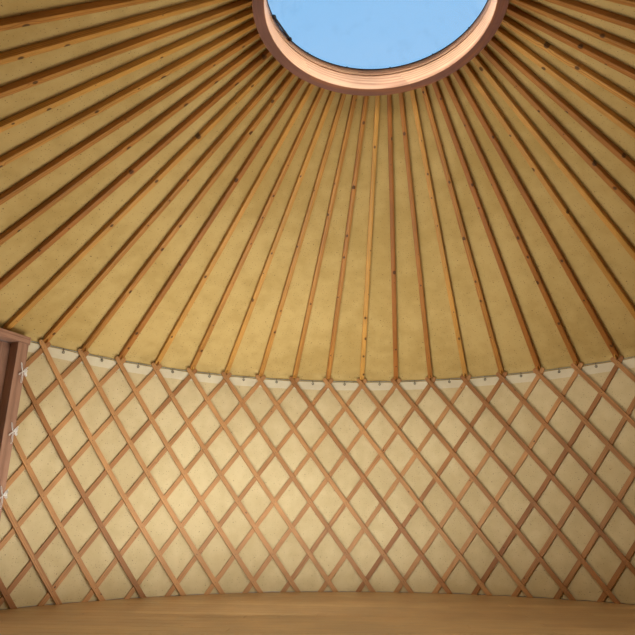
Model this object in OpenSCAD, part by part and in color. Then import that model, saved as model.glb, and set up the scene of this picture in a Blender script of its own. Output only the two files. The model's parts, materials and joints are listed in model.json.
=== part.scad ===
// Yurt with a bent lattice wall, straight rafters, a round crown under a clear dome and a glazed door.
// Millimetres, +Z up, ground at z = 0, the door on the -Y side. Bays are counted round from the door.

/* [Lattice wall] */
// Radius of the lattice where its two layers of slats meet
lattice_radius = 3000; // [2400:50:3600]
// Bays round the full circle, with one rafter to a bay
bay_count = 58; // [40:2:80]
// Height of the top row of crossings above the floor
top_crossing = 1815; // [1500:5:2100]
// Height from one row of crossings to the next
row_step = 216; // [160:2:280]
// Height of the slat tips above the top row of crossings
tip_rise = 60; // [30:5:90]
// Width of a slat across its face
slat_width = 38; // [25:1:50]
// Thickness of a slat
slat_thickness = 11; // [8:0.5:16]
// Depth that crossing slats bite into each other
slat_bite = 1; // [0.5:0.25:2]
// Lattice sections laced side by side round the wall
section_count = 11; // [8:1:16]
// Diameter of the steel cable that lies in the slat forks
cable_diameter = 6; // [4:0.5:10]

/* [Rafters] */
// Width of a rafter at its foot
rafter_foot_width = 42; // [30:1:60]
// Width of a rafter at the crown
rafter_crown_width = 36; // [25:1:50]
// Depth of a rafter, square to the slope
rafter_depth = 48; // [35:1:70]
// Height of the rafter's underside above the floor, at the lattice
rafter_seat = 1854; // [1600:2:2150]
// Length of the rafter foot outside the lattice middle
rafter_overhang = 5; // [0:1:12]
// Play between a rafter foot and the slats of its fork
fork_play = 0.5; // [0.2:0.1:2]

/* [Crown and dome] */
// Outer radius of the crown ring
crown_outer = 723; // [500:1:900]
// Inner radius of the crown ring
crown_inner = 654; // [440:1:840]
// Underside of the crown ring above the floor
crown_base = 3327; // [2800:1:3800]
// Height of the crown ring
crown_height = 113; // [80:1:180]
// Height of the curb that lifts the dome off the ring
curb_height = 50; // [30:1:120]
// Step of the curb outside the inner face of the ring
curb_inset = 2; // [0:0.5:10]
// Outer radius of the curb
curb_outer = 736; // [600:1:900]
// Thickness of the seal under the dome
seal_thickness = 6; // [3:1:12]
// Radius of the dome's flat flange
dome_flange_radius = 764; // [700:1:950]
// Radius of the dome where it springs from the flange
dome_radius = 716; // [600:1:900]
// Rise of the dome over its flange
dome_rise = 190; // [100:5:400]
// Thickness of the dome sheet
dome_sheet = 5; // [3:1:10]
// Length of the straight hinge bar of the dome
hinge_bar_length = 220; // [120:5:320]

/* [Covers] */
// Thickness of the liner cloth
liner_thickness = 2; // [1:0.5:4]
// Inner radius of the wall liner
wall_liner_radius = 3012.5; // [3011:0.5:3020]
// Inner radius of the outer wall cover of felt and canvas
wall_cover_radius = 3020; // [3014:1:3060]
// Thickness of the felt and canvas together
cover_thickness = 25; // [10:1:50]
// Height of the wall liner's top edge above the floor
liner_top = 1838; // [1600:1:1900]
// Drop of the roof cover's skirt below the eave
skirt_drop = 150; // [80:5:300]
// Thickness of the roof cover's skirt
skirt_thickness = 6; // [3:1:12]

/* [Platform] */
// Height of the joists
joist_height = 95; // [60:5:200]
// Width of a joist
joist_width = 45; // [35:1:80]
// Spacing of the joists
joist_spacing = 450; // [300:25:600]
// Thickness of the floor boards
board_thickness = 25; // [18:1:40]
// Radius of the floor
floor_radius = 3018; // [2900:1:3100]
// Thickness of the rim board round the joists
rim_thickness = 22; // [15:1:40]
// Turn of the floor boards from the line through the door, with the joists square to them
board_turn = 19; // [0:1:90]
// Drop of the wall cover below the floor
cover_drop = 80; // [20:5:110]

/* [Door] */
// Bays taken up by the door frame
door_bays = 3; // [3:2:5]
// Width of a door jamb seen from inside
jamb_width = 80; // [50:1:120]
// Depth of the door frame from inside to outside
frame_depth = 130; // [90:1:180]
// Outer face of the door frame, as a distance from the middle of the yurt
frame_front = 3035; // [3000:1:3080]
// Thickness of the head plank
head_thickness = 55; // [35:1:90]
// Length of the head plank past each jamb
head_lap = 14; // [0:1:60]
// Height of the threshold above the floor
threshold_rise = 40; // [15:1:80]
// Depth of the rebate that the leaf closes into
rebate = 12; // [8:1:25]
// Thickness of the door leaf
leaf_thickness = 44; // [30:1:60]
// Gap round the leaf
leaf_gap = 6; // [5:0.5:10]
// Width of the stiles and the top rail
stile_width = 90; // [60:1:130]
// Height of the bottom rail
bottom_rail = 160; // [100:5:260]
// Height of the middle rail
middle_rail = 110; // [70:5:160]
// Height of the middle rail's underside above the leaf's foot
middle_rail_foot = 620; // [400:10:1000]
// Thickness of the glazing
glass_thickness = 16; // [4:1:28]
// Height of the handle above the leaf's foot
handle_height = 900; // [700:10:1100]
// Radius of a hinge barrel
barrel_radius = 6; // [4:0.5:10]
// Length of the whole hinge barrel
barrel_length = 90; // [60:5:140]

/* [Hidden] */
bay_angle = 360 / bay_count;
half_bay = lattice_radius * PI / bay_count;
slat_angle = atan(row_step / half_bay);
slat_reach = slat_width / sin(slat_angle);
tip_height = top_crossing + tip_rise;
fork_height = top_crossing + slat_width / 2 / cos(slat_angle);
section_bays = (bay_count - door_bays) / section_count;
section_shift = 0.15;
facet_rise = 2 * row_step;
facet_top = top_crossing + 1.5 * row_step;
slat_facets = ceil(facet_top / facet_rise);
facet_foot = facet_top - slat_facets * facet_rise;
facet_sag = lattice_radius * (1 - cos(bay_angle / 2));
jamb_play = 0.01;
cable_play = 2.2;
liner_play = 0.3;
cable_radius = lattice_radius + slat_thickness - slat_bite / 2 - facet_sag + cable_diameter / 2 + cable_play;
floor_top = joist_height + board_thickness;
crown_bottom = floor_top + crown_base;
crown_top = crown_bottom + crown_height;
curb_top = crown_top + curb_height;
rafter_socket = 34;
rafter_run = lattice_radius - crown_outer;
rafter_rise = crown_base + rafter_socket - rafter_seat;
slope = atan(rafter_rise / rafter_run);
rafter_plumb = rafter_depth / cos(slope);
liner_plumb = liner_thickness / cos(slope);
cover_plumb = cover_thickness / cos(slope);
cover_lift = 1;
wall_cover_outer = wall_cover_radius + cover_thickness;
skirt_radius = wall_cover_outer + 2;
frame_half = lattice_radius * sin(door_bays / 2 * bay_angle);
opening_half = frame_half - jamb_width;
frame_back = frame_front - frame_depth;
head_bottom = floor_top + rafter_seat - head_thickness;
head_top = floor_top + rafter_seat;
threshold_top = floor_top + threshold_rise;
leaf_half = opening_half - leaf_gap;
leaf_bottom = threshold_top + leaf_gap;
leaf_height = head_bottom - leaf_gap - leaf_bottom;
leaf_front = frame_front - 3;
leaf_back = leaf_front - leaf_thickness;
hinge_x = opening_half + 3;
hinge_play = 0.5;
hinge_y = frame_front + hinge_play + barrel_radius;
hinge_heights = [200, 870, 1540];
cover_panels = 4;
far = lattice_radius * 2;
round_faces = 180;
small_faces = 32;
cut = 0.5;
pine = [0.80, 0.60, 0.38];
red_pine = [0.74, 0.46, 0.25];
crown_wood = [0.70, 0.44, 0.30];
cloth = [0.85, 0.78, 0.64];
canvas = [0.88, 0.85, 0.76];
steel = [0.62, 0.63, 0.65];
dark = [0.10, 0.10, 0.11];
clear = [0.70, 0.85, 0.95, 0.4];

// Angle of a place that is counted in bays from the middle of the door.
function bay_turn(bay) = -90 + bay * bay_angle;

// Height of the rafters' undersides at a distance from the middle.
function seat_at(radius) = floor_top + rafter_seat + (lattice_radius - radius) * tan(slope);

// A wedge of the circle between two places counted in bays.
module bay_wedge(first, last, height) {
    middle = (first + last) / 2;
    linear_extrude(height = height) {
        polygon([
            [0, 0],
            [far * cos(bay_turn(first)), far * sin(bay_turn(first))],
            [far * cos(bay_turn(middle)), far * sin(bay_turn(middle))],
            [far * cos(bay_turn(last)), far * sin(bay_turn(last))]
        ]);
    }
}

// The space that the door frame takes out of the round wall.
module door_space(margin, low, high) {
    translate([-frame_half - margin, -far, low]) {
        cube([2 * (frame_half + margin), far - frame_back + margin, high - low]);
    }
}

// One bent slat. A lean of -1 is the inner layer and +1 the outer one, which leans the other way.
// It turns by one bay in each facet, and the facets meet half way between two rows of crossings.
module slat(bay, lean) {
    turn = lean * slat_facets * bay_angle;
    foot = bay + lean * (top_crossing - facet_foot) / facet_rise;
    inner = lean < 0 ? lattice_radius - slat_thickness + slat_bite / 2 : lattice_radius - slat_bite / 2;
    translate([0, 0, facet_foot]) {
        rotate([0, 0, bay_turn(foot)]) {
            linear_extrude(
                height = facet_top - facet_foot,
                twist = turn,
                slices = slat_facets,
                segments = 4
            ) {
                translate([inner, -slat_reach / 2]) {
                    square([slat_thickness, slat_reach]);
                }
            }
        }
    }
}

// One section of lattice: all the slats that pass through its wedge, fused where they cross.
module lattice_section(index) {
    start = door_bays / 2 + (index - 1) * section_bays;
    first = start + (index == 1 ? jamb_play : section_shift);
    last = start + section_bays + (index == section_count ? -jamb_play : section_shift);
    reach = ceil(tip_height / (2 * row_step)) + 1;
    translate([0, 0, floor_top]) {
        intersection() {
            bay_wedge(first, last, tip_height);
            union() {
                for (bay = [floor(first) - 1 : ceil(last) + reach]) {
                    slat(bay, -1);
                }
                for (bay = [floor(first) - reach : ceil(last) + 1]) {
                    slat(bay, 1);
                }
            }
        }
    }
}

// The straight bar of a rafter with a slim taper to the crown, before its ends are cut.
module rafter_bar() {
    length = (rafter_run + 60) / cos(slope);
    start = crown_outer - 30;
    translate([start, 0, seat_at(start)]) {
        rotate([0, slope, 0]) {
            linear_extrude(height = rafter_depth) {
                polygon([
                    [0, -rafter_crown_width / 2],
                    [length, -rafter_foot_width / 2],
                    [length, rafter_foot_width / 2],
                    [0, rafter_crown_width / 2]
                ]);
            }
        }
    }
}

// One rafter: cut upright at the crown and the eave, with a foot that fits between the slats.
module rafter(bay) {
    at_door = abs(bay) < door_bays / 2;
    rotate([0, 0, bay_turn(bay)]) {
        difference() {
            rafter_bar();
            translate([0, -rafter_foot_width, 0]) {
                cube([crown_outer, 2 * rafter_foot_width, far]);
            }
            translate([lattice_radius + rafter_overhang, -rafter_foot_width, 0]) {
                cube([far, 2 * rafter_foot_width, far]);
            }
            if (at_door) {
                translate([frame_back - rafter_foot_width, -rafter_foot_width, 0]) {
                    cube([far, 2 * rafter_foot_width, head_top]);
                }
            } else {
                fork_cut(-1);
                fork_cut(1);
            }
        }
    }
}

// The room that one slat of the fork takes out of a rafter foot.
module fork_cut(lean) {
    depth = slat_thickness + 2 * fork_play;
    width = slat_width + 2 * fork_play;
    layer = lean < 0 ? slat_bite / 2 - slat_thickness : -slat_bite / 2;
    translate([lattice_radius + layer - facet_sag - fork_play, 0, floor_top + top_crossing]) {
        rotate([lean * (90 - slat_angle), 0, 0]) {
            translate([0, -width / 2, -2 * slat_width]) {
                cube([depth, width, 6 * slat_width]);
            }
        }
    }
}

// A run of rafters between two places counted in bays.
module rafter_run_between(first, last) {
    for (bay = [first : last]) {
        rafter(bay);
    }
}

// One segment of the felt and canvas wall cover, cut straight beside the door frame.
module wall_segment(index) {
    bays = (bay_count - door_bays + 0.4) / cover_panels;
    start = door_bays / 2 - 0.2 + (index - 1) * bays;
    top = rafter_seat + rafter_plumb + liner_plumb - (wall_cover_outer - lattice_radius) * tan(slope) - 2;
    difference() {
        translate([0, 0, floor_top - cover_drop]) {
            rotate([0, 0, bay_turn(start)]) {
                rotate_extrude(angle = bays * bay_angle, $fn = round_faces) {
                    translate([wall_cover_radius, 0]) {
                        square([cover_thickness, top + cover_drop]);
                    }
                }
            }
        }
        door_space(cut, 0, far);
        door_space(head_lap + cut, head_bottom - cut, far);
    }
}

// One segment of the roof cover: felt and canvas on the slope, with a canvas skirt at the eave.
module roof_segment(index) {
    inside = curb_outer + 2;
    lift = rafter_plumb + liner_plumb + cover_lift;
    outside = skirt_radius + skirt_thickness;
    skirt_foot = seat_at(skirt_radius) + lift - skirt_drop;
    panel_angle = 360 / cover_panels;
    difference() {
        rotate([0, 0, -90 + (index - 1) * panel_angle]) {
            rotate_extrude(angle = panel_angle, $fn = round_faces) {
                polygon([
                    [inside, seat_at(inside) + lift],
                    [skirt_radius, seat_at(skirt_radius) + lift],
                    [skirt_radius, skirt_foot],
                    [outside, skirt_foot],
                    [outside, seat_at(outside) + lift + cover_plumb],
                    [inside, seat_at(inside) + lift + cover_plumb]
                ]);
            }
        }
        door_space(60, 0, head_top + 8);
    }
}

module floor_joists() {
    color(pine)
    difference() {
        intersection() {
            cylinder(r = floor_radius - rim_thickness, h = joist_height, $fn = round_faces);
            rotate([0, 0, board_turn]) {
                for (row = [-6 : 6]) {
                    translate([-far / 2, row * joist_spacing - joist_width / 2, 0]) {
                        cube([far, joist_width, joist_height]);
                    }
                }
            }
        }
        door_space(cut, -1, floor_top);
    }
}

module platform_rim() {
    color(pine)
    difference() {
        cylinder(r = floor_radius, h = joist_height, $fn = round_faces);
        translate([0, 0, -1]) {
            cylinder(r = floor_radius - rim_thickness, h = joist_height + 2, $fn = round_faces);
        }
        door_space(cut, -1, floor_top);
    }
}

module floor_boards() {
    color(pine)
    difference() {
        translate([0, 0, joist_height]) {
            cylinder(r = floor_radius, h = board_thickness, $fn = round_faces);
        }
        door_space(cut, 0, floor_top + 1);
    }
}

module door_sill_beam() {
    color(pine)
    translate([-frame_half, -frame_front - 5, 0]) {
        cube([2 * frame_half, frame_depth + 5, joist_height]);
    }
}

module door_threshold() {
    color(pine)
    translate([-frame_half, -frame_front - 5, joist_height]) {
        cube([2 * frame_half, frame_depth + 5, threshold_top - joist_height]);
    }
}

// The right jamb, with the rebate that the leaf closes into.
module jamb() {
    translate([0, 0, threshold_top]) {
        linear_extrude(height = head_bottom - threshold_top) {
            polygon([
                [opening_half, -frame_front],
                [frame_half, -frame_front],
                [frame_half, -frame_back],
                [opening_half - rebate, -frame_back],
                [opening_half - rebate, -leaf_back + leaf_gap],
                [opening_half, -leaf_back + leaf_gap]
            ]);
        }
    }
}

module door_jamb_left() {
    color(red_pine)
    mirror([1, 0, 0]) {
        jamb();
    }
}

module door_jamb_right() {
    color(red_pine)
    jamb();
}

module door_head() {
    color(red_pine)
    translate([0, -(frame_front + frame_back) / 2, head_bottom]) {
        corner = 18;
        along = frame_half + head_lap - corner;
        across = frame_depth / 2 + 5 - corner;
        union() {
            translate([-along - corner, -across, 0]) {
                cube([2 * (along + corner), 2 * across, head_thickness]);
            }
            translate([-along, -across - corner, 0]) {
                cube([2 * along, 2 * (across + corner), head_thickness]);
            }
            for (x = [-along, along]) {
                for (y = [-across, across]) {
                    translate([x, y, 0]) {
                        cylinder(r = corner, h = head_thickness, $fn = small_faces);
                    }
                }
            }
        }
    }
}

// A panel opening through the leaf between two heights.
module leaf_window(low, high) {
    translate([-leaf_half + stile_width, -leaf_front - 1, low]) {
        cube([2 * (leaf_half - stile_width), leaf_thickness + 2, high - low]);
    }
}

module door_leaf() {
    color(red_pine)
    difference() {
        translate([-leaf_half, -leaf_front, leaf_bottom]) {
            cube([2 * leaf_half, leaf_thickness, leaf_height]);
        }
        leaf_window(leaf_bottom + bottom_rail, leaf_bottom + middle_rail_foot);
        leaf_window(leaf_bottom + middle_rail_foot + middle_rail, leaf_bottom + leaf_height - stile_width);
    }
}

module door_panel() {
    panel_thickness = 18;
    color(red_pine)
    translate([-leaf_half + stile_width, -(leaf_front + leaf_back + panel_thickness) / 2, leaf_bottom + bottom_rail]) {
        cube([2 * (leaf_half - stile_width), panel_thickness, middle_rail_foot - bottom_rail]);
    }
}

module door_glass() {
    low = leaf_bottom + middle_rail_foot + middle_rail;
    high = leaf_bottom + leaf_height - stile_width;
    color(clear)
    translate([-leaf_half + stile_width, -(leaf_front + leaf_back + glass_thickness) / 2, low]) {
        cube([2 * (leaf_half - stile_width), glass_thickness, high - low]);
    }
}

// One side of the handle: a back plate, a neck and a lever that points to the hinges.
module lever() {
    plate = [34, 4, 150];
    neck = 9;
    stand = 38;
    reach = 118;
    union() {
        translate([-plate[0] / 2, 0, -plate[2] / 2]) {
            cube(plate);
        }
        rotate([-90, 0, 0]) {
            cylinder(r = neck, h = stand + neck, $fn = small_faces);
        }
        translate([0, stand, 0]) {
            rotate([0, 90, 0]) {
                cylinder(r = neck, h = reach, $fn = small_faces);
            }
        }
    }
}

module door_handle() {
    color(steel)
    translate([-leaf_half + stile_width / 2, 0, leaf_bottom + handle_height]) {
        translate([0, -leaf_back, 0]) {
            lever();
        }
        translate([0, -leaf_front, 0]) {
            mirror([0, 1, 0]) {
                lever();
            }
        }
    }
}

// The leaf's knuckles, each on an arm that stands clear of the jamb.
module leaf_hinges() {
    knuckle = barrel_length / 3 - 2;
    plate = 45;
    lap = 8;
    to_leaf = hinge_x - leaf_half;
    arm_back = barrel_radius;
    plate_out = arm_back - 2;
    color(steel)
    for (height = hinge_heights) {
        translate([hinge_x, -hinge_y, leaf_bottom + height - knuckle / 2]) {
            cylinder(r = barrel_radius, h = knuckle, $fn = small_faces);
            translate([-to_leaf - lap, -barrel_radius / 4, 0]) {
                cube([to_leaf + lap, arm_back + barrel_radius / 4, knuckle]);
            }
            translate([-plate, plate_out, 0]) {
                cube([plate - to_leaf, hinge_y - leaf_front - plate_out, knuckle]);
            }
        }
    }
}

module frame_hinges() {
    knuckle = barrel_length / 3;
    plate = 40;
    color(steel)
    for (height = hinge_heights) {
        for (side = [-1, 1]) {
            translate([hinge_x, -hinge_y, leaf_bottom + height + side * knuckle - knuckle / 2]) {
                cylinder(r = barrel_radius, h = knuckle, $fn = small_faces);
                translate([0, hinge_y - frame_front - 3, 0]) {
                    cube([plate, 3, knuckle]);
                }
            }
        }
    }
}

module lattice_1() { color(pine) lattice_section(1); }
module lattice_2() { color(pine) lattice_section(2); }
module lattice_3() { color(pine) lattice_section(3); }
module lattice_4() { color(pine) lattice_section(4); }
module lattice_5() { color(pine) lattice_section(5); }
module lattice_6() { color(pine) lattice_section(6); }
module lattice_7() { color(pine) lattice_section(7); }
module lattice_8() { color(pine) lattice_section(8); }
module lattice_9() { color(pine) lattice_section(9); }
module lattice_10() { color(pine) lattice_section(10); }
module lattice_11() { color(pine) lattice_section(11); }

module wall_cable() {
    color(steel)
    difference() {
        translate([0, 0, floor_top + fork_height + cable_diameter / 2]) {
            rotate([0, 0, bay_turn(door_bays / 2)]) {
                rotate_extrude(angle = (bay_count - door_bays) * bay_angle, $fn = round_faces) {
                    translate([cable_radius, 0]) {
                        circle(r = cable_diameter / 2, $fn = small_faces);
                    }
                }
            }
        }
        door_space(head_lap, 0, far);
    }
}

module wall_liner() {
    color(cloth)
    difference() {
        translate([0, 0, floor_top]) {
            rotate_extrude($fn = round_faces) {
                translate([wall_liner_radius, 0]) {
                    square([liner_thickness, liner_top]);
                }
            }
        }
        door_space(cut, 0, far);
        door_space(head_lap + cut, head_bottom - cut, far);
    }
}

module roof_liner() {
    inside = curb_outer + 2;
    outside = wall_cover_radius - 2;
    lift = rafter_plumb + liner_play;
    foot = floor_top + liner_top - 12;
    color(cloth)
    difference() {
        rotate_extrude($fn = round_faces) {
            polygon([
                [inside, seat_at(inside) + lift],
                [outside - liner_thickness, seat_at(outside - liner_thickness) + lift],
                [outside - liner_thickness, foot],
                [outside, foot],
                [outside, seat_at(outside) + lift + liner_plumb],
                [inside, seat_at(inside) + lift + liner_plumb]
            ]);
        }
        door_space(head_lap + 1, 0, head_top);
    }
}

module wall_cover_1() { color(canvas) wall_segment(1); }
module wall_cover_2() { color(canvas) wall_segment(2); }
module wall_cover_3() { color(canvas) wall_segment(3); }
module wall_cover_4() { color(canvas) wall_segment(4); }

module rafters_front() {
    color(red_pine)
    rafter_run_between(-7, 7);
}

module rafters_right() {
    color(red_pine)
    rafter_run_between(8, 21);
}

module rafters_back() {
    color(red_pine)
    rafter_run_between(22, 36);
}

module rafters_left() {
    color(red_pine)
    rafter_run_between(37, 50);
}

module crown_ring() {
    color(crown_wood)
    translate([0, 0, crown_bottom]) {
        difference() {
            cylinder(r = crown_outer, h = crown_height, $fn = round_faces);
            translate([0, 0, -1]) {
                cylinder(r = crown_inner, h = crown_height + 2, $fn = round_faces);
            }
        }
    }
}

module crown_curb() {
    color(crown_wood)
    translate([0, 0, crown_top]) {
        difference() {
            cylinder(r = curb_outer, h = curb_height, $fn = round_faces);
            translate([0, 0, -1]) {
                cylinder(r = crown_inner + curb_inset, h = curb_height + 2, $fn = round_faces);
            }
        }
    }
}

module dome_seal() {
    color(dark)
    translate([0, 0, curb_top]) {
        difference() {
            cylinder(r = curb_outer + 4, h = seal_thickness, $fn = round_faces);
            translate([0, 0, -1]) {
                cylinder(r = crown_inner, h = seal_thickness + 2, $fn = round_faces);
            }
        }
    }
}

module dome() {
    ball = (dome_radius * dome_radius + dome_rise * dome_rise) / (2 * dome_rise);
    color(clear)
    translate([0, 0, curb_top + seal_thickness]) {
        difference() {
            union() {
                cylinder(r = dome_flange_radius, h = dome_sheet, $fn = round_faces);
                intersection() {
                    cylinder(r = dome_radius, h = dome_rise + 1, $fn = round_faces);
                    translate([0, 0, dome_rise - ball]) {
                        sphere(r = ball, $fn = round_faces);
                    }
                }
            }
            translate([0, 0, dome_rise - ball]) {
                sphere(r = ball - dome_sheet, $fn = round_faces);
            }
        }
    }
}

module dome_hinge_bar() {
    bar = [14, hinge_bar_length, 24];
    knob = 11;
    inset = 34;
    color(dark)
    intersection() {
        cylinder(r = crown_inner + curb_inset, h = far, $fn = round_faces);
        rotate([0, 0, -93]) {
            translate([crown_inner + curb_inset - inset, -bar[1] / 2, curb_top - bar[2]]) {
                cube(bar);
                for (along = [bar[1] * 0.12, bar[1] * 0.88]) {
                    translate([0, along, bar[2] / 2]) {
                        rotate([0, 90, 0]) {
                            cylinder(r = knob, h = inset, $fn = small_faces);
                        }
                    }
                }
            }
        }
    }
}

module roof_cover_1() { color(canvas) roof_segment(1); }
module roof_cover_2() { color(canvas) roof_segment(2); }
module roof_cover_3() { color(canvas) roof_segment(3); }
module roof_cover_4() { color(canvas) roof_segment(4); }

floor_joists();
platform_rim();
floor_boards();
door_sill_beam();
door_threshold();
door_jamb_left();
door_jamb_right();
door_head();
door_leaf();
door_panel();
door_glass();
door_handle();
leaf_hinges();
frame_hinges();
lattice_1();
lattice_2();
lattice_3();
lattice_4();
lattice_5();
lattice_6();
lattice_7();
lattice_8();
lattice_9();
lattice_10();
lattice_11();
wall_cable();
wall_liner();
roof_liner();
wall_cover_1();
wall_cover_2();
wall_cover_3();
wall_cover_4();
rafters_front();
rafters_right();
rafters_back();
rafters_left();
crown_ring();
crown_curb();
dome_seal();
dome();
dome_hinge_bar();
roof_cover_1();
roof_cover_2();
roof_cover_3();
roof_cover_4();
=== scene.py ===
"""A round yurt: boarded floor, bent lattice, rafters, crown with a clear dome, cloth covers and a door.

Metres, +Z up, the door on the -Y side. Bays are counted round from the middle of the door.
"""

import json
import logging
import math
import random
from collections.abc import Callable, Iterable, Sequence
from dataclasses import dataclass
from enum import Enum
from math import cos, sin

import bmesh
import bpy
from bmesh.types import BMEdge, BMesh, BMVert
from bpy.types import Material, Node, NodeSocket, NodeTree, Object
from mathutils import Matrix, Vector


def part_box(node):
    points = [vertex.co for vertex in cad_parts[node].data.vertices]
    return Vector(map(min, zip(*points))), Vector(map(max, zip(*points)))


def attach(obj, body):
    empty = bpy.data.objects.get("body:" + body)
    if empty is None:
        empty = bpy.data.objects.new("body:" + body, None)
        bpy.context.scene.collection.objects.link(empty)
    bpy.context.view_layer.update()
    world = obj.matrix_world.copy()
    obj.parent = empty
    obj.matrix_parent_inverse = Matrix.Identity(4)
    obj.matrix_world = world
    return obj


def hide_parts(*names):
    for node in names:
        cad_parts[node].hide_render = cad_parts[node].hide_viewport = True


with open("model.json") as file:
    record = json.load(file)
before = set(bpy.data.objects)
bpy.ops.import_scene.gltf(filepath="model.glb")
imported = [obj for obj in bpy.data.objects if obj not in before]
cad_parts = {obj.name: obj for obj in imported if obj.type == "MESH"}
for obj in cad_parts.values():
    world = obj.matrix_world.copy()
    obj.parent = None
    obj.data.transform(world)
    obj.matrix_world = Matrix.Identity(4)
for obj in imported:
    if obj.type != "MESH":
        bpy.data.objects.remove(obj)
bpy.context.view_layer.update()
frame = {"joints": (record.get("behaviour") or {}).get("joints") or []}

LOG = logging.getLogger("yurt")
Colour = tuple[float, float, float]
Pair = tuple[float, float]
RIGHT = Vector((1.0, 0.0, 0.0))
BACK = Vector((0.0, 1.0, 0.0))
UP = Vector((0.0, 0.0, 1.0))
TURN = 2 * math.pi
MM = 0.001
TINY = 1e-6
NEAR = 1e-5
MIDDLE_TONE = 0.5


class Body(Enum):
    """The bodies that pieces ride on."""

    YURT = "yurt"
    DOOR = "door"


class Slot(Enum):
    """Names of material slots, passed with the pieces but not read."""

    FLOOR = "floor_wood"
    DOOR = "door_wood"
    LATTICE = "lattice_wood"
    RAFTER = "rafter_wood"
    CROWN = "crown_wood"
    GLASS = "door_glass"
    DOME = "dome_sheet"
    STEEL = "steel"
    DARK = "dark_metal"
    SEAL = "seal_rubber"
    LINER = "liner_cloth"
    CANVAS = "outer_canvas"


class Layer(Enum):
    """The two layers of the lattice, with the way that each leans."""

    INNER = -1
    OUTER = 1


def heading(angle: float) -> Vector:
    """The level direction at an angle."""
    return Vector((cos(angle), sin(angle), 0.0))


@dataclass(frozen=True)
class Plan:
    """The round plan of the yurt, with the heights that the frame gives."""

    bay_count: int = 58
    door_bays: int = 3
    radius: float = 3.0
    floor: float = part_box("floor_boards")[1].z
    joist_top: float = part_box("floor_boards")[0].z
    crossing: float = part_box("floor_boards")[1].z + 1.815
    seat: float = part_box("door_head")[1].z
    crown_outer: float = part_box("crown_ring")[1].x
    crown_foot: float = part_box("crown_ring")[0].z
    socket: float = 0.034
    rafter_depth: float = 0.036
    cover_room: float = 0.048
    crown_turn: float = 0.5
    crown_sway: float = 0.42
    sway_middle: float = 46.0
    frame_half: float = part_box("door_jamb_right")[1].x
    frame_front: float = -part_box("door_jamb_right")[0].y
    frame_back: float = -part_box("door_jamb_right")[1].y

    @property
    def bay(self) -> float:
        """The angle of one bay."""
        return TURN / self.bay_count

    @property
    def slope(self) -> float:
        """The angle of the rafters above level."""
        rise = self.crown_foot + self.socket - self.seat
        return math.atan(rise / (self.radius - self.crown_outer))

    def plumb(self, depth: float) -> float:
        """A depth that is square to the roof, measured plumb."""
        return depth / cos(self.slope)

    @property
    def first(self) -> float:
        """The place of the right jamb's outer face, in bays."""
        return self.door_bays / 2

    @property
    def last(self) -> float:
        """The place of the left jamb's outer face, in bays."""
        return self.bay_count - self.door_bays / 2

    def turn(self, place: float) -> float:
        """The angle of a place that is counted in bays."""
        return -TURN / 4 + place * self.bay

    def out(self, place: float) -> Vector:
        """The level direction from the middle to a place counted in bays."""
        return heading(self.turn(place))

    def along(self, place: float) -> Vector:
        """The level direction round the wall at a place counted in bays."""
        return UP.cross(self.out(place))

    def point(self, place: float, radius: float, height: float) -> Vector:
        """A point by its place in bays, its radius and its height."""
        return self.out(place) * radius + UP * height

    def under(self, radius: float) -> float:
        """The height of the rafters' undersides at a radius."""
        return self.seat + (self.radius - radius) * math.tan(self.slope)

    def lean(self, place: float) -> float:
        """How far round the crown a rafter's head stands from its foot, in bays."""
        return -self.crown_turn - self.crown_sway * sin((place - self.sway_middle) * self.bay)

    def along_rafter(self, place: float, radius: float) -> float:
        """The place in bays, at a radius, of the rafter whose foot is at a place."""
        share = (self.radius - radius) / (self.radius - self.crown_outer)
        return place + self.lean(place) * share * self.crown_outer / radius


PLAN = Plan()


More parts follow.
